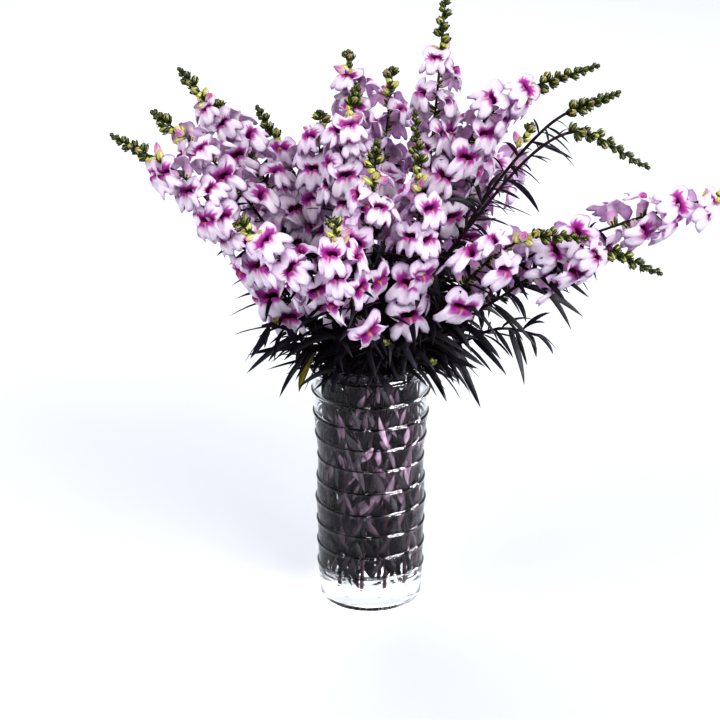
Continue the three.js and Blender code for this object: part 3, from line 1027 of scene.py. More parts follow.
@dataclass
class Water:
    """The water, out to the glass, with a raised edge where it meets it.

    into_glass is how far its skin lies within the glass, and edge_width the distance from the glass
    over which its raised edge falls to about a third.
    """

    vase: Vase
    level: float = 222
    into_glass: float = 0.08
    meniscus: float = 1.8
    edge_width: float = 1.3
    edge_rows: tuple[float, ...] = (0.4, 1, 2, 3.5, 6)
    wall_rows: int = 24
    segments: int = 128

    def build(self) -> None:
        """Makes the water."""
        vase, over = self.vase, self.into_glass
        rows = [(0.0, vase.floor - over)]
        rows += [(radius + over, z - over) for radius, z in vase.floor_corner(90, 14, -15)]
        low, high = vase.floor + vase.floor_round, self.level + self.meniscus
        rows += [(vase.inner(z) + over, float(z)) for z in np.linspace(low, high, self.wall_rows)]
        edge = vase.inner(self.level)
        rows += [(edge - d, self.level + self.meniscus * math.exp(-d / self.edge_width))
                 for d in self.edge_rows]
        rows += [(edge * 0.6, self.level), (0.0, self.level)]
        sketch = Sketch()
        sketch.add(lathed(rows, self.segments, Look.WATER))
        sketch.build("vase_water", vase.materials, (Look.WATER,), Slot.WATER, "water")


# ---------------------------------------------------------------- blooms and buds


def smooth_rows(keys: np.ndarray, rows: np.ndarray, at: np.ndarray) -> np.ndarray:
    """Reads rows of numbers between keys along a smooth line.

    Args:
        keys: The keys, rising.
        rows: One row of numbers for each key.
        at: The places to read.

    Returns:
        One row for each place.
    """
    slopes = np.gradient(rows, keys, axis=0)
    spot = np.clip(np.searchsorted(keys, at, side="right") - 1, 0, len(keys) - 2)
    gap = (keys[spot + 1] - keys[spot])[:, None]
    w = ((at - keys[spot])[:, None]) / gap
    leaving, reaching = slopes[spot] * gap * 0.8, slopes[spot + 1] * gap * 0.8
    return cubic(rows[spot], rows[spot + 1], leaving, reaching, w)


@dataclass
class BloomForm:
    """One open bloom of two skins: X across, Y out of the stem, Z up, in mm.

    Its skins run from the root along the tube to the lips' edge, and back inside to the throat. A
    place on the lips is named by v, which is 0 at the mouth and 1 at the edge.
    """

    seed: int
    mouth_y: float = 14
    skin: float = 0.45
    # How much deeper the tube is below than above.
    belly: float = 0.16
    # The angles from the top at which each half's points stand, closer at its corners.
    angles: tuple[float, ...] = (0, 14, 30, 39, 48, 56, 64, 78, 90, 104, 120, 129, 136, 143, 151,
                                 162, 171, 180)
    # The tube's and the throat's rings: out, radius, lift.
    tube_rows: tuple[Point, ...] = (
        (-0.4, 0.9, 0), (1.8, 3.4, -0.6), (6, 4.9, -0.9), (10.5, 5.6, -0.1), (14, 6.4, 0.4))
    throat_rows: tuple[Point, ...] = ((11, 4.9, 0), (7, 3.6, -0.5))
    # The lips on one side: angle from the top, then first pull, second pull and edge, each across,
    # out and up.
    lips: tuple[tuple[float, ...], ...] = (
        (0, 0.0, 20.0, 5.2, 0.0, 27.5, 5.2, 0.0, 19.8, 15.6),
        (14, 1.6, 20.0, 5.2, 3.0, 27.5, 6.0, 5.4, 16.4, 20.6),
        (30, 3.2, 20.0, 4.9, 6.5, 27.5, 6.8, 11.6, 14.0, 21.2),
        (48, 5.0, 19.5, 4.9, 10.0, 26.5, 6.8, 17.6, 14.6, 16.8),
        (64, 6.4, 19.0, 3.6, 12.4, 25.5, 4.6, 20.2, 17.6, 9.4),
        (78, 7.0, 18.5, 1.9, 11.9, 24.0, 2.2, 16.0, 20.8, 3.4),
        (90, 7.2, 18.5, 0.3, 9.8, 22.5, 0.2, 10.2, 21.2, -0.4),
        (104, 7.2, 19.5, 0.4, 11.0, 25.5, 1.2, 14.4, 20.6, -5.0),
        (120, 6.6, 21.0, 2.0, 12.0, 29.0, 2.2, 17.6, 20.6, -11.2),
        (129, 6.0, 21.6, 3.6, 11.8, 30.8, 3.6, 18.6, 20.8, -17.2),
        (136, 5.4, 22.0, 4.8, 11.0, 32.0, 4.6, 16.6, 21.4, -21.2),
        (143, 4.6, 22.4, 5.6, 9.4, 32.8, 5.2, 12.4, 22.2, -20.8),
        (151, 3.8, 22.6, 6.2, 7.6, 33.5, 5.6, 8.6, 23.0, -15.4),
        (162, 2.4, 22.6, 6.2, 4.6, 33.0, 5.6, 6.8, 24.0, -16.4),
        (171, 1.2, 21.6, 5.0, 2.2, 31.0, 4.6, 4.6, 23.6, -21.4),
        (180, 0.0, 20.4, 3.6, 0.0, 29.0, 3.4, 0.0, 23.2, -22.4),
    )
    # Where the lips' rows lie between the mouth and the edge.
    shares: tuple[float, ...] = (0.1, 0.2, 0.3, 0.4, 0.5, 0.61, 0.73, 0.85, 0.94, 1.0)
    # The ripples of the edge: how many go round, and how high they are.
    ripples: tuple[tuple[int, float], ...] = ((3, 1.2), (5, 1.1), (8, 0.9), (11, 0.7))
    crease: float = 1.5
    creases: int = 8

    def __post_init__(self) -> None:
        """Lays out the angles round the bloom."""
        half = np.array(self.angles, float)
        self.turns = np.concatenate([half, 360 - half[-2:0:-1]])
        self.columns = len(self.turns)
        self.folded = np.abs((self.turns + 180) % 360 - 180)
        self.lower = ease(84, 108, self.folded)

    def _ring(self, y: float, radius: float, lift: float) -> np.ndarray:
        """A ring of the tube.

        Args:
            y: How far out of the stem it stands.
            radius: Its radius.
            lift: How far it is raised.

        Returns:
            Its points.
        """
        a = np.radians(self.turns)
        swell = 1 + self.belly * (1 - np.cos(a)) / 2
        return np.stack([np.sin(a) * radius, np.full_like(a, y), np.cos(a) * radius * swell + lift],
                        axis=1)

    def _lip_rows(self) -> list[np.ndarray]:
        """Shapes the lips' outer skin.

        Returns:
            Its rows of points, from the mouth to the rippled edge.
        """
        table = np.array(self.lips)
        read = smooth_rows(table[:, 0], table[:, 1:], self.folded)
        side = np.where(self.turns > 180, -1.0, 1.0)
        read[:, 0::3] *= side[:, None]
        first, second, edge = read[:, 0:3], read[:, 3:6], read[:, 6:9]
        edge[:, 0] *= 1 + 0.08 * jitter(self.seed + 3) * side
        edge[:, 2] *= 1 + 0.08 * jitter(self.seed + 5)
        for order, reach in self.ripples:
            wave = np.sin(np.radians(self.turns) * order + 3 * jitter(self.seed * order))
            edge[:, 1] += reach * 1.5 * wave
            edge[:, 2] += reach * 0.6 * wave * np.sign(edge[:, 2])
        mouth = self._ring(*self.tube_rows[-1])
        folds = np.cos(np.radians(self.turns) * self.creases + self.seed)
        rows = []
        for v in self.shares:
            pulled = 3 * v * (1 - v)**2 * first + 3 * v * v * (1 - v) * second
            row = (1 - v)**3 * mouth + pulled + v**3 * edge
            row[:, 1] += self.crease * ease(0.5, 0.9, v) * folds * (0.4 + 0.6 * (1 - self.lower))
            rows.append(row)
        return rows

    def _outer_dye(self, v: float) -> np.ndarray:
        """The lips' outer skin at v: mauve at the mouth, white, then flushed lilac at the edge.

        Args:
            v: The place on the lips.

        Returns:
            The colours round the bloom.
        """
        flush = 0.06 + 0.38 * ease(0.8, 1.0, v) * (1 - 0.45 * self.lower)
        flush = flush * (1 + 0.3 * np.sin(self.folded / 9 + self.seed))
        body = mix(TUBE_MAUVE, PETAL_WHITE, ease(0.0, 0.35, v))
        return blend_dyes(body, PETAL_LILAC, np.clip(flush, 0, 1))

    def _inner_dye(self, v: float, across: np.ndarray) -> np.ndarray:
        """The lips' inner skin at v: magenta within, white beyond, with a lilac edge.

        Args:
            v: The place on the lips.
            across: How far each point stands from the bloom's middle.

        Returns:
            The colours round the bloom.
        """
        upper = 1 - self.lower
        rim = ease(0.92, 1.0, v) * (0.95 + 0.2 * jitter(self.seed + 9)) * (1 - 0.25 * self.lower)
        rim = rim + 0.01 + 0.08 * upper * (0.5 + 0.5 * np.sin(self.folded / 5 + self.seed))
        colour = blend_dyes(PETAL_WHITE, PETAL_LILAC, np.clip(rim, 0, 1))
        cleft = 1 - 0.6 * np.exp(-((across / 1.1) ** 2))
        swell = self.lower * (1 - ease(0.66, 0.83, v + 0.01 * across)) * cleft
        streak = 0.08 * np.sin(self.folded / 3.2 + self.seed)
        depth = 0.52 + 0.14 * jitter(self.seed * 2.7)
        hood = upper * (1 - ease(depth + streak, depth + 0.18 + streak, v))
        colour = blend_dyes(colour, PETAL_MAGENTA, np.clip(swell + hood, 0, 1) * 0.94)
        deep = np.full_like(across, 1 - ease(0.08, 0.26, v)) * 0.85
        colour = blend_dyes(colour, THROAT_DEEP, deep)
        gold = self.lower * np.exp(-((across / 2.0) ** 2)) * math.exp(-(((v - 0.36) / 0.1) ** 2))
        return blend_dyes(colour, PALATE_GOLD, np.clip(gold * 1.2, 0, 1))

    def patch(self) -> Patch:
        """Makes the whole bloom.

        Returns:
            The bloom as one closed patch.
        """
        points, dyes = [], []
        for y, radius, lift in self.tube_rows:
            points.append(self._ring(y, radius, lift))
            mouthward = np.full(self.columns, y / self.mouth_y)
            tint = blend_dyes(TUBE_CREAM, TUBE_MAUVE, ease(0.1, 0.6, mouthward))
            dyes.append(blend_dyes(tint, PETAL_LILAC, ease(0.6, 1.0, mouthward) * 0.25))
        lips = self._lip_rows()
        points += lips
        dyes += [self._outer_dye(v) for v in self.shares]
        along = np.gradient(np.array(lips), axis=0)
        round_about = (np.roll(lips, -1, axis=1) - np.roll(lips, 1, axis=1)) / 2
        normals = np.cross(round_about, along)
        normals /= np.maximum(np.linalg.norm(normals, axis=2, keepdims=True), 1e-9)
        for row in range(len(lips) - 2, -1, -1):
            points.append(lips[row] - normals[row] * self.skin)
            dyes.append(self._inner_dye(self.shares[row], np.abs(lips[row][:, 0])))
        for y, radius, lift in self.throat_rows:
            points.append(self._ring(y, radius, lift))
            dyes.append(dyed(THROAT_DEEP, self.columns))
        rows = len(points)
        lies = [(c / self.columns, r / rows) for r in range(rows) for c in range(self.columns)]
        return lofted(np.concatenate(points), np.concatenate(dyes), lies, self.columns, Look.PETAL)


@dataclass
class Egg:
    """A closed bud on the Y axis, with dyes from root to tip and a seam on every other meridian."""

    length: float
    width: float
    dyes: tuple[np.ndarray, ...]
    seam: np.ndarray
    look: Look = Look.BUD
    sides: int = 10
    seam_dip: float = 0.93
    # How far along each ring stands, and its share of the width.
    rings: tuple[tuple[float, float], ...] = (
        (-0.02, 0.25), (0.08, 0.62), (0.24, 0.92), (0.42, 1.0), (0.6, 0.93), (0.77, 0.7),
        (0.91, 0.4), (1.0, 0.1))

    def patch(self) -> Patch:
        """Makes the bud.

        Returns:
            The bud as one closed patch.
        """
        points, colours, lies = [], [], []
        tones = np.array(self.dyes)
        for y, share in self.rings:
            keys = np.linspace(0, 1, len(tones))
            tone = np.array([np.interp(y, keys, channel) for channel in tones.T])
            for k in range(self.sides):
                a = 2 * math.pi * k / self.sides
                r = self.width / 2 * share * (self.seam_dip if k % 2 else 1.0)
                points.append((r * math.sin(a), y * self.length, r * math.cos(a)))
                colours.append(mix(tone, self.seam, 0.8) if k % 2 else tone)
                lies.append((k / self.sides, y))
        return lofted(points, colours, lies, self.sides, self.look)


@dataclass
class Calyx:
    """The green sepals that clasp the root of a bloom or bud, each a wedge with a back and a front.

    radius is what they clasp, and open_out how far their tips stand off, as a share of it.
    """

    length: float
    radius: float
    open_out: float = 1.3
    sepals: int = 5
    thick: float = 0.8
    keel: float = 1.12

    def patch(self) -> Patch:
        """Makes the sepals.

        Returns:
            All of them as one patch.
        """
        points, faces, colours, lies = [], [], [], []
        # Each row of a sepal: how far along, how far out, and half its width.
        rows = ((-0.2, 0.55, 0.3), (0.3, 1.0, 0.4), (0.7, 1.12, 0.3), (1.0, self.open_out, 0.04))
        for n in range(self.sepals):
            middle = 2 * math.pi * (n + 0.5) / self.sepals
            start = len(points)
            for y, out, half in rows:
                for turn, layer in ((-half, 0), (0, 0), (half, 0), (0, 1)):
                    r = self.radius * out * (self.keel if turn == 0 else 1) - self.thick * layer
                    a = middle + turn * 1.3
                    points.append((r * math.sin(a), y * self.length, r * math.cos(a)))
                    dark = 1.0 if y == 1 else 0.25 + 0.6 * (turn != 0) + 0.2 * y
                    colours.append(mix(CALYX_GREEN, CALYX_DARK, dark))
                    lies.append((turn, y))
            faces += [grid_faces(4, 4) + start, np.arange(start, start + 4)[None, ::-1],
                      np.arange(start + 12, start + 16)[None, :]]
        return Patch(np.array(points), faces, np.array(colours), np.array(lies), Look.BUD)


# ---------------------------------------------------------------- leaves


# A leaf's section: the side of each point, and 1 for those of its lower or inner skin.
LEAF_SECTION = ((-1, 0), (0, 0), (1, 0), (1, 1), (0, 1), (-1, 1))


@dataclass
class LeafForm:
    """A narrow pointed leaf with a folded middle, dark above and mauve beneath.

    droop bends it down and sweep sideways, as shares of its length. curl turns it about its own
    line, in radians.
    """

    length: float
    width: float
    droop: float = 0.3
    fold: float = 0.3
    thick: float = 0.45
    curl: float = 0.0
    sweep: float = 0.0
    top: np.ndarray = field(default_factory=lambda: LEAF_TOP)
    under: np.ndarray = field(default_factory=lambda: LEAF_UNDER)
    look: Look = Look.LEAF
    rows: int = 8

    def patch(self, root: np.ndarray, direction: np.ndarray, face: np.ndarray) -> Patch:
        """Grows the leaf from a root.

        Args:
            root: Where it starts.
            direction: The way that it leaves its root.
            face: The way that its upper side looks.

        Returns:
            The leaf as one closed patch.
        """
        across = unit(np.cross(direction, face))
        bend = across * self.sweep - Z_AXIS * self.droop
        points, dyes, lies = [], [], []
        for row in range(self.rows):
            s = row / (self.rows - 1)
            share = 0.14 + 0.86 * math.sin(math.pi * s**0.85) ** 0.8 if s < 0.999 else 0.02
            half = self.width * share / 2
            middle = root + direction * (s * self.length) + bend * (self.length * s * s)
            ahead = unit(direction + bend * 2 * s)
            turn = self.curl * s
            side = unit(across - ahead * (across @ ahead))
            wide = side * math.cos(turn) + face * math.sin(turn)
            normal = unit(np.cross(wide, ahead))
            normal = normal if normal @ face > 0 else -normal
            keel = self.thick * (1 - 0.6 * s)
            for k, below in LEAF_SECTION:
                lift = half * self.fold * abs(k) - below * keel * (1.4 if k == 0 else 0.5)
                points.append(middle + wide * (half * k) + normal * lift)
                # The upper skin's edges take some of the bluish painted sheen; its midrib is
                # lighter.
                tone = self.under if below else mix(self.top, LEAF_PAINTED_SHEEN, 0.35 * (k != 0))
                dyes.append(tone * (1.5 if k == 0 and not below else 1))
                lies.append((k * 0.5, s * 3))
        return lofted(points, np.clip(dyes, 0, 1), lies, len(LEAF_SECTION), self.look)


@dataclass
class GlassLeaf:
    """A leaf that lies along the inside of the glass, its mauve underside outward.

    angle, in radians, and z place its root round the vase, and radius how far from the axis it
    lies. lean is its angle from upright, in radians, and seed sets its tone and bend. Its outer
    colour is painted darker the lower it stands, between the heights of shade: painted shade deep
    in the crowded vase.
    """

    angle: float
    z: float
    radius: float
    lean: float
    length: float
    width: float
    seed: int
    thick: float = 0.7
    keel: float = 0.5
    rows: int = 8
    shade: tuple[float, float] = (50, 200)

    def _tone(self) -> np.ndarray:
        """The colour of its outer side: mauve, nearly black or grey.

        Returns:
            The colour.
        """
        dark = min(1.0, abs(jitter(self.seed * 3.7)) * 1.8)
        outer = mix(LEAF_MAUVE, LEAF_UNDER * 0.06, dark) * (1 + 0.2 * jitter(self.seed * 1.9))
        outer = mix(outer, LEAF_GREY, 0.8 * max(0.0, jitter(self.seed * 5.3)) ** 2)
        # Darker the lower it stands: painted shade.
        return outer * mix(0.3, 1.0, ease(*self.shade, self.z))

    def patch(self, look: Look) -> Patch:
        """Makes the leaf.

        Args:
            look: What it is made of.

        Returns:
            The leaf as one closed patch.
        """
        points, dyes, lies = [], [], []
        bend, outer = 0.5 * jitter(self.seed + 0.5), self._tone()
        across, up = 0.0, 0.0
        for row in range(self.rows):
            s = row / (self.rows - 1)
            heading = self.lean + bend * (s - 0.5)
            if row:
                across += math.sin(heading) * self.length / (self.rows - 1)
                up += math.cos(heading) * self.length / (self.rows - 1)
            bulge = 0.1 + 0.9 * math.sin(math.pi * s**0.9)
            half = self.width / 2 * bulge if 0 < s < 0.999 else self.width * 0.03
            for k, inner in LEAF_SECTION:
                sideways, rise = half * k * math.cos(heading), -half * k * math.sin(heading)
                depth = inner * (self.thick + self.keel * (k == 0))
                r, a = self.radius - depth, self.angle + (across + sideways) / self.radius
                points.append((r * math.cos(a), r * math.sin(a), self.z + up + rise))
                dyes.append(LEAF_TOP if inner else outer * (1.25 if k == 0 else 1))
                lies.append((k * 0.5, s * 3))
        return lofted(points, np.clip(dyes, 0, 1), lies, len(LEAF_SECTION), look)


# ---------------------------------------------------------------- stalks


# The steps on from a bloom of the spiral at which extra blooms may stand, and how far round the
# stem, in degrees, each of them is from it.
EXTRA_TURNS = {0.5: GOLDEN_DEG / 2 + 180, 0.25: 80.0}


@dataclass
class Stalk:
    """One flowering stalk: its leafy stem, its flower head and its bud tip.

    forms are the open blooms that it chooses from. A size with top in its name is the one at the
    upper end.
    """

    growth: Growth
    seed: int
    materials: Materials
    forms: list[Patch]
    # The stem, and the gap between its parts.
    stem_radius: float = 2.2
    head_radius: float = 1.6
    head_top_radius: float = 1.2
    tip_radius: float = 0.7
    ring_pitch: float = 7
    swelling: float = 0.07
    part_gap: float = 0.35
    # Its leaves. The small ones' and the tuft's sizes are shares of the usual leaf's.
    leaf_length: float = 66
    leaf_width: float = 7.5
    leaves_above_mouth: float = 6
    leaves_below_end: float = 4
    least_leafy_length: float = 30
    small_leaf: float = 0.78
    small_top_leaf: float = 0.4
    small_leaves_below_mouth: float = 14
    tuft_leaves: int = 30
    tuft_leaf: float = 0.75
    tuft_top_leaf: float = 0.34
    tuft_above_mouth: float = 40
    head_leaves: int = 9
    # The leaves that lie along the glass.
    glass_leaf_heights: tuple[float, ...] = (60, 140)
    glass_leaf_radius: float = 51.7
    glass_leaf_length: float = 52
    glass_leaf_width: float = 9
    # Its blooms: how many times a form's size they are, and how they rise from the stem.
    bloom_size: float = 1.06
    bloom_top_size: float = 0.83
    bloom_rise_deg: float = 3
    bloom_top_rise_deg: float = 38
    closed_length: float = 23
    closed_width: float = 10.4
    calyx_length: float = 8
    calyx_radius: float = 4.0
    calyx_off_stem: float = 0.9
    # The scars that dropped blooms leave.
    scars: int = 5
    first_scar: float = 6
    scar_pitch: float = 11
    scars_above_mouth: float = 20
    scar_length: float = 7.5
    scar_radius: float = 2.3
    scar_off_stem: float = 2.2
    scar_rise_deg: float = 35
    # The buds about to open, below the tip.
    half_open: int = 4
    half_open_pitch: float = 4.5
    half_open_length: float = 10.5
    half_open_width: float = 7.6
    # The tip's buds.
    bud_length: float = 9
    bud_top_length: float = 3.4
    bud_width: float = 6.4
    bud_rise_deg: float = 35
    bud_top_rise_deg: float = 60
    last_bud_rise_deg: float = 80
    bud_off_stem: float = 3.2
    bud_top_off_stem: float = 0.8

    def __post_init__(self) -> None:
        """Lays the path and finds where its parts end."""
        self.path = StalkPath(self.growth)
        self.head_end = self.path.total - self.growth.tip
        self.head_start = self.head_end - self.growth.head

    def _node(self, part: str) -> str:
        """The name of the stalk's solid for a part."""
        return f"snapdragon_{self.growth.name}_{part}"

    def _draw(self, trait: Trait, number: float) -> float:
        """A repeatable number from -1 to 1 for a trait of a numbered leaf, bud or bloom."""
        return jitter(self.seed * trait.value + number)

    def _tube(self, start: float, end: float, ends: tuple[float, float],
              greens: tuple[float, float]) -> Patch:
        """A length of stem, with slight swellings where leaves and blooms join.

        Args:
            start: The length along the stalk at which it starts.
            end: The length at which it ends.
            ends: Its radius at the start and at the end.
            greens: How green it is at the start and at the end, 0 to 1.

        Returns:
            The stem.
        """
        count = max(3, int((end - start) / self.ring_pitch))
        stations = [self.path.station(at) for at in np.linspace(start, end, count)]
        shares = np.linspace(0, 1, count)
        radii = [mix(*ends, share) * (1 + self.swelling * self._draw(Trait.SWELLING, i))
                 for i, share in enumerate(shares)]
        return tube(stations, radii, blend_dyes(STEM_PURPLE, STEM_GREEN, mix(*greens, shares)))

    def leafy_stem(self) -> None:
        """Makes the dark stem with its leaves."""
        growth, sketch = self.growth, Sketch()
        end = self.head_start if growth.head else self.head_end
        sketch.add(self._tube(0, end, (self.stem_radius, self.head_radius), (0.0, 0.1)))
        start = self.path.mouth + self.leaves_above_mouth
        stop = max(end - self.leaves_below_end, start + self.least_leafy_length)
        for i in range(growth.leaves):
            share = (i + 0.5) / growth.leaves
            size = 1.0 if growth.head else mix(1, 0.5, share)
            self._leaf(sketch, mix(start, stop, share), i, size)
        self._small_leaves(sketch, stop)
        if not growth.head:
            self._tuft(sketch, stop)
        if growth.stand is Stand.WALL:
            self._glass_leaves(sketch)
        if growth.head:
            self._scars(sketch, end)
        sketch.build(f"leafy_stem_{growth.name}", self.materials,
                     (Look.LEAF, Look.STEM, Look.BUD), Slot.FOLIAGE, self._node("leafy_stem"))

    def _small_leaves(self, sketch: Sketch, stop: float) -> None:
        """Adds the small leaves, closer together at the vase's mouth.

        Args:
            sketch: What they join.
            stop: The length along the stem at which they stop.
        """
        count, start = self.growth.leaves * 2 + 6, self.path.mouth - self.small_leaves_below_mouth
        for i in range(count):
            share = ((i + 0.3) / count) ** 1.3
            top = self.small_leaf if self.growth.head else self.small_top_leaf
            size = mix(self.small_leaf, top, share) + 0.2 * self._draw(Trait.SMALL_LEAF, i)
            self._leaf(sketch, mix(start, stop, share), i + 20, size)

    def _tuft(self, sketch: Sketch, stop: float) -> None:
        """Adds the crowded narrow leaves of a stalk that is still in bud.

        Args:
            sketch: What they join.
            stop: The length along the stem at which they stop.
        """
        start = self.path.mouth + self.tuft_above_mouth
        for i in range(self.tuft_leaves):
            share = ((i + 0.5) / self.tuft_leaves) ** 1.3
            size = mix(self.tuft_leaf, self.tuft_top_leaf, share)
            size *= 1 + 0.4 * self._draw(Trait.TUFT_LEAF, i)
            self._leaf(sketch, mix(start, stop, share), i + 60, size, 0.8)

    def _glass_leaves(self, sketch: Sketch) -> None:
        """Adds the leaves of a stem by the wall that lie along the glass, leaning to either side.

        Args:
            sketch: What they join.
        """
        for i, height in enumerate(self.glass_leaf_heights):
            z = height + 10 * self._draw(Trait.GLASS_LEAF_HEIGHT, i)
            x, y, _ = self.path.station(self.path.length_at_height(z)).point
            side = 1 if (i + self.seed) % 2 else -1
            lean = math.radians(side * (22 + 10 * self._draw(Trait.GLASS_LEAF_LEAN, i)))
            leaf = GlassLeaf(math.atan2(y, x), z, self.glass_leaf_radius, lean,
                             self.glass_leaf_length, self.glass_leaf_width, self.seed * 4 + i)
            sketch.add(leaf.patch(Look.LEAF))

    def _leaf(self, sketch: Sketch, at: float, number: int, size: float, slim: float = 1.0) -> None:
        """Adds one leaf.

        Args:
            sketch: What it joins.
            at: The length along the stem at which it grows.
            number: Its number up the stem.
            size: How many times larger than usual it is.
            slim: How many times wider than usual it is.
        """
        station = self.path.station(at)
        angle = math.radians(GOLDEN_DEG * number) + self.seed
        out = station.radial(station.drawn_angle(angle))
        length = self.leaf_length * (1 + 0.25 * self._draw(Trait.LEAF_LENGTH, number)) * size
        breadth = mix(0.8, 1.35, abs(self._draw(Trait.LEAF_WIDTH, number)))
        under = mix(LEAF_UNDER, LEAF_TOP, 0.5 + 0.5 * self._draw(Trait.UNDERSIDE, number))
        form = LeafForm(length, self.leaf_width * breadth * size * slim,
                        droop=0.28 + 0.16 * self._draw(Trait.DROOP, number),
                        curl=0.7 * self._draw(Trait.CURL, number),
                        sweep=0.3 * self._draw(Trait.SWEEP, number), under=under)
        roll = Y_AXIS * (0.9 * self._draw(Trait.LEAF_FACE, number) - 0.3)
        direction = unit(out * 0.86 + station.tangent * 0.5)
        sketch.add(form.patch(station.point, direction, unit(Z_AXIS + out * 0.2 + roll)))

    def _scars(self, sketch: Sketch, end: float) -> None:
        """Adds the small green calyxes left below the flower head, where blooms have dropped.

        Args:
            sketch: What they join.
            end: The length along the stem at which the flower head starts.
        """
        for i in range(self.scars):
            at = end - self.first_scar - self.scar_pitch * i
            if at < self.path.mouth + self.scars_above_mouth:
                break
            station = self.path.station(at)
            angle = math.radians(GOLDEN_DEG * i) + self.seed
            basis = outward_basis(station, angle, self.scar_rise_deg)
            cup = Calyx(self.scar_length, self.scar_radius)
            sketch.add(cup.patch().placed(basis, station.point + basis[1] * self.scar_off_stem))

    def flower_head(self) -> None:
        """Makes the blooms on their length of stem."""
        growth, sketch = self.growth, Sketch()
        end = self.head_end if growth.own_tip else self.path.total
        end_radius = self.head_top_radius if growth.own_tip else self.tip_radius
        start = self.head_start + self.part_gap
        sketch.add(self._tube(start, end, (self.head_radius, end_radius), (0.1, 0.5)))
        for i in range(growth.blooms):
            self._bloom(sketch, i, 0.0)
            fill = growth.fill * mix(growth.low_fill, 1, ease(0.05, 0.5, i / growth.blooms))
            for spare, step in enumerate(EXTRA_TURNS):
                wanted = abs(self._draw(Trait.EXTRA_BLOOM, i * 7 + step)) < fill - spare
                if i < growth.blooms - 1 and wanted:
                    self._bloom(sketch, i, step)
        for i in range(self.head_leaves):
            at = mix(self.head_start, self.head_end, 0.5 * (i + 0.5) / self.head_leaves)
            self._leaf(sketch, at, i + 100, mix(0.85, 0.5, i / self.head_leaves), 0.9)
        self._half_open(sketch)
        if not growth.own_tip:
            self._buds(sketch)
        sketch.build(f"flower_head_{growth.name}", self.materials,
                     (Look.PETAL, Look.STEM, Look.BUD, Look.LEAF), Slot.PETAL,
                     self._node("flower_head"))

    def _bloom(self, sketch: Sketch, i: int, step: float) -> None:
        """Adds a bloom at its place in the spiral, or an extra one on another side of the stem.

        Args:
            sketch: What it joins.
            i: Its number in the spiral.
            step: How far on an extra one stands, as in EXTRA_TURNS, or 0.
        """
        growth = self.growth
        share = (i + 0.5 + step) / growth.blooms
        station = self.path.station(mix(self.head_start, self.head_end, share))
        big, aside, astray, raised, roll = (
            self._draw(Trait.WHIM, i * 3 + step + n) for n in (0, 11, 17, 23, 37))
        turn = math.radians(GOLDEN_DEG * i + 360 * jitter(self.seed))
        turn += 0.2 * self._draw(Trait.BLOOM_TURN, i) + 0.3 * aside
        turn += math.radians(EXTRA_TURNS.get(step, 0))
        heading = station.drawn_angle(turn) + 0.5 * astray
        rise = mix(self.bloom_rise_deg, self.bloom_top_rise_deg, share * share) + 15 * raised
        basis = rolled(outward_basis(station, heading, rise), 0.36 * roll)
        size = mix(self.bloom_size, self.bloom_top_size, share) * (1 + 0.1 * big)
        size *= 1.04 - 0.16 * step
        # Its stalk's paleness brightens or darkens the bloom's colours, partly as painted shade on
        # the stalks at the back; the rest is a random tone.
        tone = mix(0.85, 1.02, growth.pale_and_lit) * (1 + 0.05 * self._draw(Trait.PETAL_TONE, i + step))
        if i == growth.blooms - 1:
            dyes = (TUBE_CREAM, BUD_LIME, TUBE_CREAM, BUD_PINK, PETAL_MAGENTA)
            closed = Egg(self.closed_length, self.closed_width, dyes, TUBE_MAUVE, Look.PETAL, 12)
            sketch.add(closed.patch().placed(basis, station.point, size))
        else:
            form = self.forms[int((self.seed * 5 + i * 3 + step * 6) % len(self.forms))]
            sketch.add(form.placed(basis, station.point, size, tone))
        cup, root = Calyx(self.calyx_length, self.calyx_radius), basis[1] * self.calyx_off_stem
        sketch.add(cup.patch().placed(basis, station.point + root, size))

    def _half_open(self, sketch: Sketch) -> None:
        """Adds the swelling buds between the last bloom and the tip.

        Args:
            sketch: What they join.
        """
        for i in range(self.half_open):
            station = self.path.station(self.head_end - 1.5 - self.half_open_pitch * i)
            angle = station.drawn_angle(self.seed + 1.9 * i, 0.3)
            basis = outward_basis(station, angle, 42 - 4 * i)
            length, width = self.half_open_length + 1.7 * i, self.half_open_width + 0.5 * i
            dyes = (CALYX_GREEN, BUD_LIME, mix(BUD_LIME, TUBE_CREAM, 0.2 * i),
                    mix(BUD_LIME, BUD_PINK, 0.3 + 0.2 * i))
            bud = Egg(length, width, dyes, mix(BUD_LIME, CALYX_DARK, 0.5), sides=12)
            for part in (bud, Calyx(length * 0.42, 3.2, 1.2)):
                sketch.add(part.patch().placed(basis, station.point))

    def _buds(self, sketch: Sketch) -> None:
        """Adds the buds of the tip, with a second spiral of smaller ones between them.

        Args:
            sketch: What they join.
        """
        for i in range(self.growth.buds * 2 - 1):
            self._bud(sketch, i)

    def _bud_dyes(self, i: int, share: float) -> tuple[np.ndarray, ...]:
        """The colours of a bud, pink at the tip low on the stalk and dark higher up.

        Args:
            i: Its number.
            share: How far up the tip it grows, 0 to 1.

        Returns:
            Its colours from root to tip.
        """
        ripe = max(0.0, 1 - share * 1.1) * (0.7 + 0.3 * self._draw(Trait.RIPENESS, i))
        body = mix(CALYX_GREEN, BUD_LIME, 0.3 + 0.55 * ripe)
        body = body * (1 + 0.35 * self._draw(Trait.BUD_TONE, i))
        base = mix(CALYX_GREEN, CALYX_DARK, 0.85)
        if share < 0.4:
            pink = mix(body, BUD_PINK, 0.35 + 0.35 * self._draw(Trait.BLUSH, i))
            return base, body, body, pink
        return (base, mix(base, body, 0.6), body, mix(body, CALYX_DARK, 0.4),
                mix(body, CALYX_DARK, 0.9))

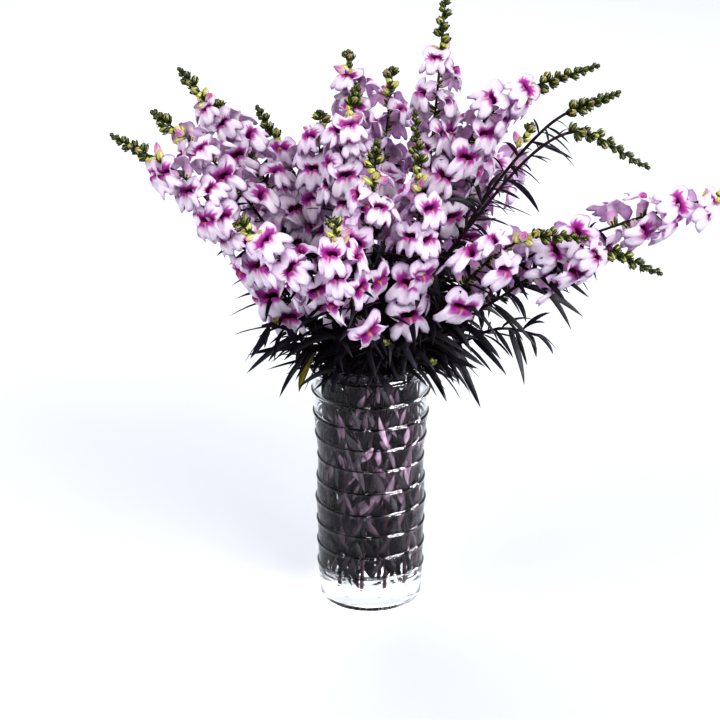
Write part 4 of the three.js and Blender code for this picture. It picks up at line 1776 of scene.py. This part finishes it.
    def _bud(self, sketch: Sketch, i: int) -> None:
        """Adds one bud with its calyx and its bract, smaller towards the stalk's end.

        Args:
            sketch: What they join.
            i: Its number, which is odd in the second spiral.
        """
        odd, number = i % 2, i / 2
        share = number / max(1, self.growth.buds - 1)
        at = mix(self.head_end + 4, self.path.total - 1, 1 - (1 - share) ** 1.25)
        station = self.path.station(at)
        length = mix(self.bud_length, self.bud_top_length, share) + 0.6
        width = mix(self.bud_width * 1.2, self.bud_top_length * 0.9, share)
        turn = math.radians(GOLDEN_DEG * number) + self.seed + (2.6 if odd else 0)
        rise = mix(self.bud_rise_deg, self.bud_top_rise_deg, share)
        basis = outward_basis(station, turn, self.last_bud_rise_deg if share == 1 else rise)
        root = station.point + basis[1] * mix(self.bud_off_stem, self.bud_top_off_stem, share)
        dyes = self._bud_dyes(i, share)
        body = dyes[1] if share < 0.4 else dyes[2]
        bud = Egg(length, width, dyes, mix(body, CALYX_DARK, 0.95))
        cup = Calyx(length * 0.8, width * 0.54, 0.95)
        for part in (bud, cup):
            sketch.add(part.patch().placed(basis, root, 1.0 if odd else 1.16))
        bract = LeafForm(length * 1.35, width * 0.8, 0, fold=0.5, look=Look.BUD, rows=5,
                         top=mix(CALYX_GREEN, CALYX_DARK, 0.35),
                         under=mix(CALYX_GREEN, CALYX_DARK, 0.5))
        sketch.add(bract.patch(station.point, unit(basis[1] - basis[2] * 0.45), basis[2]))

    def bud_tip(self) -> None:
        """Makes the green tip."""
        sketch, head = Sketch(), self.growth.head
        ends = (self.head_top_radius if head else self.head_radius, self.tip_radius)
        start = self.head_end + self.part_gap
        sketch.add(self._tube(start, self.path.total, ends, (0.5, 0.7) if head else (0.1, 0.5)))
        self._buds(sketch)
        sketch.build(f"bud_tip_{self.growth.name}", self.materials, (Look.BUD, Look.STEM),
                     Slot.BUD, self._node("bud_tip"))

    def build(self) -> None:
        """Makes the stalk's pieces."""
        self.leafy_stem()
        if self.growth.head:
            self.flower_head()
        if self.growth.own_tip:
            self.bud_tip()


@dataclass
class Shoot(Stalk):
    """A leafy shoot with no flowers."""

    def build(self) -> None:
        """Makes the shoot."""
        growth, path, sketch = self.growth, self.path, Sketch()
        sketch.add(self._tube(0, path.total, (self.stem_radius, self.head_radius), (0, 0)))
        start, stop, small = path.mouth + 4, path.total - 2, growth.leaves * 2
        for i in range(growth.leaves):
            self._leaf(sketch, mix(start, stop, (i + 0.5) / growth.leaves), i, 0.9)
        for i in range(small):
            self._leaf(sketch, mix(start - 10, stop, (i + 0.2) / small), i + 40, 0.62)
        sketch.build(f"leafy_shoot_piece_{growth.name}", self.materials, (Look.LEAF, Look.STEM),
                     Slot.FOLIAGE, f"leafy_shoot_{growth.name}")


@dataclass
class Collar:
    """The dark leaves that crowd the vase's mouth, some hanging over its rim.

    Each random trait of a leaf is a jitter of its number times a factor of that trait's own.
    """

    materials: Materials
    leaves: int = 470
    lowest: float = RIM_Z - 4
    highest: float = RIM_Z + 106
    radius: float = 58
    top_radius: float = 56
    # How far its top stands to the right, and how far its leaves point away from straight out.
    top_shift: float = 16
    scatter_deg: float = 150
    top_scatter_deg: float = 80
    left_length: float = 26
    right_length: float = 62
    leaf_width: float = 8.6
    heart_leaves: int = 150
    heart_length: float = 52
    heart_width: float = 15
    heart_top_width: float = 9
    heart_lowest: float = RIM_Z - 34
    heart_highest: float = RIM_Z + 94
    heart_radius: float = 44
    heart_top_radius: float = 70
    front_hanging: int = 20
    back_hanging: int = 6
    hanging_z: float = RIM_Z + 10
    hanging_radius: float = 60
    hanging_length: float = 44
    seeds: int = 9
    seed_heads: tuple[Point, ...] = (
        (-16, -92, 352), (15, -90, 338), (66, -66, 306), (-100, -62, 352))
    olive_root: Point = (-62.0, -42.0, 312.0)

    def _spray(self, sketch: Sketch) -> None:
        """Adds the leaves round the mouth, shorter towards the left.

        Args:
            sketch: What they join.
        """
        for n in range(self.leaves):
            rise = (n + 0.5) / self.leaves
            soon, later = min(1, rise * 3), min(1, rise * 2)
            degrees = GOLDEN_DEG * n + 20 * jitter(n * 3.3)
            reach = mix(self.radius, self.top_radius, rise) * mix(0.25, 1.0, abs(jitter(n * 6.1)))
            root = polar(reach, degrees, mix(self.lowest, self.highest, rise))
            root = root + X_AXIS * mix(0, self.top_shift, rise)
            astray = mix(self.scatter_deg, self.top_scatter_deg, rise) * jitter(n * 8.3)
            out = unit(polar(1.0, degrees + astray, 0))
            lift = mix(-0.3, 0.75, abs(jitter(n * 2.9)))
            lift = lift + max(0.0, rise - 0.6) + 0.3 * max(0.0, 0.3 - rise)
            rightward = 0.5 + 0.5 * math.cos(math.radians(degrees))
            length = mix(self.left_length, self.right_length, rightward)
            length *= (1 + 0.25 * jitter(n * 1.7)) * mix(0.8, 1, soon)
            droop = mix(0.15, 0.4, later) + 0.3 * jitter(n * 7.9) * soon
            self._leaf(sketch, n, root, unit(out * 0.8 + Z_AXIS * lift), out, length, droop)

    def _heart(self, sketch: Sketch) -> None:
        """Adds the broad dark leaves in the middle of the mouth.

        Args:
            sketch: What they join.
        """
        for n in range(self.heart_leaves):
            rise = (n + 0.5) / self.heart_leaves
            z = mix(self.heart_lowest, self.heart_highest, rise)
            reach = mix(self.heart_radius, self.heart_top_radius, rise) * abs(jitter(n * 2.7))
            root = polar(reach, GOLDEN_DEG * n, z)
            direction = unit(unit(polar(1.0, 97.0 * n, 0)) * 0.5 + Z_AXIS)
            width = mix(self.heart_width, self.heart_top_width, rise)
            form = LeafForm(self.heart_length, width, 0.2,
                            curl=0.6 * jitter(n * 3.3), sweep=0.3 * jitter(n * 7.9))
            sketch.add(form.patch(root, direction, unit(polar(1.0, GOLDEN_DEG * n, 0.4))))

    def _over_rim(self, sketch: Sketch) -> None:
        """Adds the leaves that lie over the rim and hang down outside it.

        Args:
            sketch: What they join.
        """
        front, back = self.front_hanging, self.back_hanging
        for n in range(front + back):
            degrees = mix(-50, 60, (n + 0.5) / front)
            if n >= front:
                degrees = mix(110, 250, (n - front + 0.5) / back)
            root = polar(self.hanging_radius + 5 * jitter(n * 3.1), degrees,
                         self.hanging_z + 7 * jitter(n * 6.7))
            out = unit(polar(1.0, degrees + 40 * jitter(n * 4.9), 0))
            rightward = max(0.0, math.cos(math.radians(degrees)))
            length = self.hanging_length + 14 * jitter(n * 8.1) + 8 * rightward
            droop = 0.75 + 0.25 * jitter(n * 9.3)
            self._leaf(sketch, n + 500, root, unit(out + Z_AXIS * 0.12), out, length, droop)

    def _leaf(self, sketch: Sketch, n: int, root: np.ndarray, direction: np.ndarray,
              out: np.ndarray, length: float, droop: float) -> None:
        """Adds one leaf.

        Args:
            sketch: What it joins.
            n: Its number, which sets its width and tone.
            root: Where it starts.
            direction: The way that it leaves its root.
            out: The way out of the bouquet.
            length: How long it is.
            droop: How far it bends down, as a share of its length.
        """
        width = (self.leaf_width + 2.4 * jitter(n * 4.7)) * mix(0.6, 1, min(1, length / 58))
        # Some leaves' upper skins take more of the bluish painted sheen, at random.
        form = LeafForm(length, width, droop, curl=0.8 * jitter(n * 3.9),
                        sweep=0.34 * jitter(n * 6.1),
                        top=mix(LEAF_TOP, LEAF_PAINTED_SHEEN, max(0.0, jitter(n * 9.7)) ** 2),
                        under=mix(LEAF_UNDER, LEAF_TOP, 0.5 + 0.5 * jitter(n * 5.5)))
        face = unit(Z_AXIS + out * 0.2 + np.cross(out, Z_AXIS) * 0.6 * jitter(n * 10.3))
        sketch.add(form.patch(root, direction, face))

    def _front_of_rim(self, sketch: Sketch) -> None:
        """Adds the small yellow-green seed heads and the olive leaf at the front of the rim.

        Args:
            sketch: What they join.
        """
        grain = Egg(6.6, 4.2, (BUD_LIME, BUD_LIME, CALYX_GREEN), CALYX_DARK, sides=8).patch()
        for middle in self.seed_heads:
            for k in range(self.seeds):
                way = unit(polar(1.0, 51.4 * k, 0.7) - Y_AXIS * 0.8)
                across = unit(np.cross(way, Z_AXIS))
                basis = np.array([across, way, np.cross(across, way)])
                sketch.add(grain.placed(basis, np.array(middle)))
        olive = LeafForm(34, 12, 0.5, top=LEAF_OLIVE, under=LEAF_OLIVE)
        sketch.add(olive.patch(np.array(self.olive_root), unit(np.array([-0.35, -0.25, -0.6])),
                               unit(np.array([-0.6, -0.7, 0.4]))))

    def build(self) -> None:
        """Makes the collar."""
        sketch = Sketch()
        self._spray(sketch)
        self._heart(sketch)
        self._over_rim(sketch)
        self._front_of_rim(sketch)
        sketch.build("leaf_collar", self.materials, (Look.LEAF, Look.BUD), Slot.FOLIAGE)


@dataclass
class SunkenLeaves:
    """The loose leaves that crowd the vase, in layers by the glass and in the middle.

    Their random traits are jitters of their number, as in the collar.
    """

    materials: Materials
    lowest: float = 27
    highest: float = RIM_Z - 4
    by_glass: int = 600
    glass_length: float = 32
    glass_width: float = 6.6
    layers: int = 6
    outer_layer: float = 53.8
    layers_depth: float = 5.5
    in_middle: int = 260
    middle_length: float = 48
    middle_width: float = 13

    def build(self) -> None:
        """Makes the leaves along the glass and those in the middle."""
        sketch = Sketch()
        for n in range(self.by_glass):
            length = self.glass_length + 12 * jitter(n * 1.3)
            width = self.glass_width + 2.2 * jitter(n * 9.1)
            z = mix(self.lowest, self.highest - 36, (n + 0.5 + jitter(n * 2.3)) / self.by_glass)
            z = min(max(z, self.lowest), self.highest - length)
            angle = math.radians(GOLDEN_DEG * n) + 0.5 * jitter(n * 5.1)
            radius = self.outer_layer - self.layers_depth * (n % self.layers) / (self.layers - 1)
            leaf = GlassLeaf(angle, z, radius, 0.7 * jitter(n * 7.7), length, width, n)
            sketch.add(leaf.patch(Look.WET_LEAF))
        # The middle leaves take darkened copies of the leaf colours: painted shade in the vase's
        # dim heart.
        form = LeafForm(self.middle_length, self.middle_width, 0, top=LEAF_TOP * 0.4,
                        under=LEAF_UNDER * 0.1, look=Look.WET_LEAF)
        for n in range(self.in_middle):
            z = mix(self.lowest, self.highest - 50, (n + 0.5) / self.in_middle)
            root = polar(12 + 30 * abs(jitter(n * 4.4)), GOLDEN_DEG * n, z)
            face = unit(polar(1.0, GOLDEN_DEG * n, 0.1))
            sketch.add(form.patch(root, unit(polar(0.3, 77.0 * n, 1.0)), face))
        sketch.build("sunken_leaves", self.materials, (Look.WET_LEAF,), Slot.FOLIAGE)


# ---------------------------------------------------------------- studio


@dataclass(frozen=True)
class Softbox:
    """A soft round light that looks at the bouquet.

    place is where it hangs and size how wide it is, in metres. One that is glints_only shows in
    reflections and lights nothing else.
    """

    name: str
    place: Point
    size: float
    watts: float
    glints_only: bool = False
    target: Point = (0, 0, 0.3)

    def hang(self) -> None:
        """Makes the light."""
        light = bpy.data.lights.new(self.name, "AREA")
        light.shape, light.size, light.energy = "DISK", self.size, self.watts
        lamp = bpy.data.objects.new(self.name, light)
        lamp.location = self.place
        way = Vector(self.target) - Vector(self.place)
        lamp.rotation_euler = way.to_track_quat("-Z", "Y").to_euler()
        lamp.visible_diffuse = lamp.visible_transmission = not self.glints_only
        bpy.context.scene.collection.objects.link(lamp)


@dataclass
class Studio:
    """The pale floor, the soft lights and the camera, in metres.

    The floor's tone runs from near_tone to far_tone between two shares of its depth: painted
    light that lightens the far floor, which the lamps light less.
    """

    pitch_deg: float = 22.2
    field_deg: float = 17.0
    aim: Point = (-0.012, 0.0, 0.283)
    distance: float = 2.65
    sensor_mm: float = 36
    floor_side: float = 16.0
    near_tone: Tint = (0.56, 0.571, 0.598)
    far_tone: Tint = (0.6, 0.608, 0.635)
    near_share: float = 0.5
    far_share: float = 0.7
    sky_tint: Tint = (0.95, 0.97, 1.0)
    sky_strength: float = 0.9
    softboxes: tuple[Softbox, ...] = (
        Softbox("key_light", (1.5, -2.0, 2.4), 1.6, 40),
        Softbox("fill_light", (-2.2, -1.2, 1.9), 2.0, 18),
        Softbox("back_light", (-0.5, 2.3, 2.3), 1.8, 26),
        Softbox("right_glints", (2.4, -1.6, 1.5), 2.4, 800, glints_only=True),
        Softbox("side_glints", (2.9, 0.9, 1.4), 1.4, 270, glints_only=True),
        Softbox("front_glints", (-0.3, -2.9, 2.1), 1.0, 70, glints_only=True),
    )

    def _floor_material(self) -> bpy.types.Material:
        """Makes the floor's material, painted a little lighter far from the vase, where the lamps
        light it less.

        Returns:
            The material.
        """
        wiring = Wiring("pale_floor")
        shader = wiring.add("ShaderNodeBsdfPrincipled", Roughness=0.9, Specular_IOR_Level=0.0)
        place = wiring.add("ShaderNodeSeparateXYZ")
        here = wiring.add("ShaderNodeTexCoord").outputs["Object"]
        wiring.link(here, place.inputs["Vector"])
        ramp = wiring.add("ShaderNodeValToRGB")
        tones = ((self.near_share, self.near_tone), (self.far_share, self.far_tone))
        for element, (at, tone) in zip(ramp.color_ramp.elements, tones):
            element.position, element.color = at, (*tone, 1)
        half = self.floor_side / 2
        depth = wiring.add("ShaderNodeMapRange", From_Min=-half, From_Max=half)
        wiring.link(place.outputs["Y"], depth.inputs["Value"])
        wiring.link(depth.outputs["Result"], ramp.inputs["Fac"])
        wiring.link(ramp.outputs["Color"], shader.inputs["Base Color"])
        wiring.link(shader.outputs["BSDF"], wiring.output.inputs["Surface"])
        return wiring.material

    def floor(self) -> None:
        """Lays the floor."""
        half = self.floor_side / 2
        corners = [(-half, -half, 0), (half, -half, 0), (half, half, 0), (-half, half, 0)]
        mesh = bpy.data.meshes.new("pale_floor")
        mesh.from_pydata(corners, [], [(0, 1, 2, 3)])
        mesh.materials.append(self._floor_material())
        plane = bpy.data.objects.new("pale_floor", mesh)
        bpy.context.scene.collection.objects.link(plane)

    def sky(self) -> None:
        """Sets the even light from all round, and how contrasty the view is."""
        world = bpy.data.worlds.new("studio_light")
        world.use_nodes = True
        background = world.node_tree.nodes["Background"]
        background.inputs["Color"].default_value = (*self.sky_tint, 1)
        background.inputs["Strength"].default_value = self.sky_strength
        scene = bpy.context.scene
        scene.world = world
        scene.view_settings.view_transform = "Standard"
        scene.view_settings.look = "High Contrast"

    def camera(self) -> None:
        """Sets the camera up."""
        pitch = math.radians(self.pitch_deg)
        lens = bpy.data.cameras.new("camera")
        lens.sensor_width = self.sensor_mm
        lens.lens = self.sensor_mm / 2 / math.tan(math.radians(self.field_deg / 2))
        lens.clip_end = 50
        camera = bpy.data.objects.new("camera", lens)
        x, y, z = self.aim
        back, up = self.distance * math.cos(pitch), self.distance * math.sin(pitch)
        camera.location = (x, y - back, z + up)
        camera.rotation_euler = (math.pi / 2 - pitch, 0, 0)
        bpy.context.scene.collection.objects.link(camera)
        bpy.context.scene.camera = camera

    def build(self) -> None:
        """Builds the studio."""
        self.floor()
        for softbox in self.softboxes:
            softbox.hang()
        self.sky()
        self.camera()


def main() -> None:
    """Builds every piece around the solids."""
    logging.basicConfig(level=logging.INFO, format="%(name)s %(message)s")
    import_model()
    Studio().build()
    materials = Materials()
    vase = Vase(materials)
    vase.build()
    Water(vase).build()
    forms = [BloomForm(seed).patch() for seed in range(1, 9)]
    for index, growth in enumerate(STALKS):
        Stalk(growth, index + 1, materials, forms).build()
    for index, growth in enumerate(SHOOTS):
        Shoot(growth, len(STALKS) + index + 1, materials, forms).build()
    SunkenLeaves(materials).build()
    Collar(materials).build()


if __name__ == "__main__":
    main()
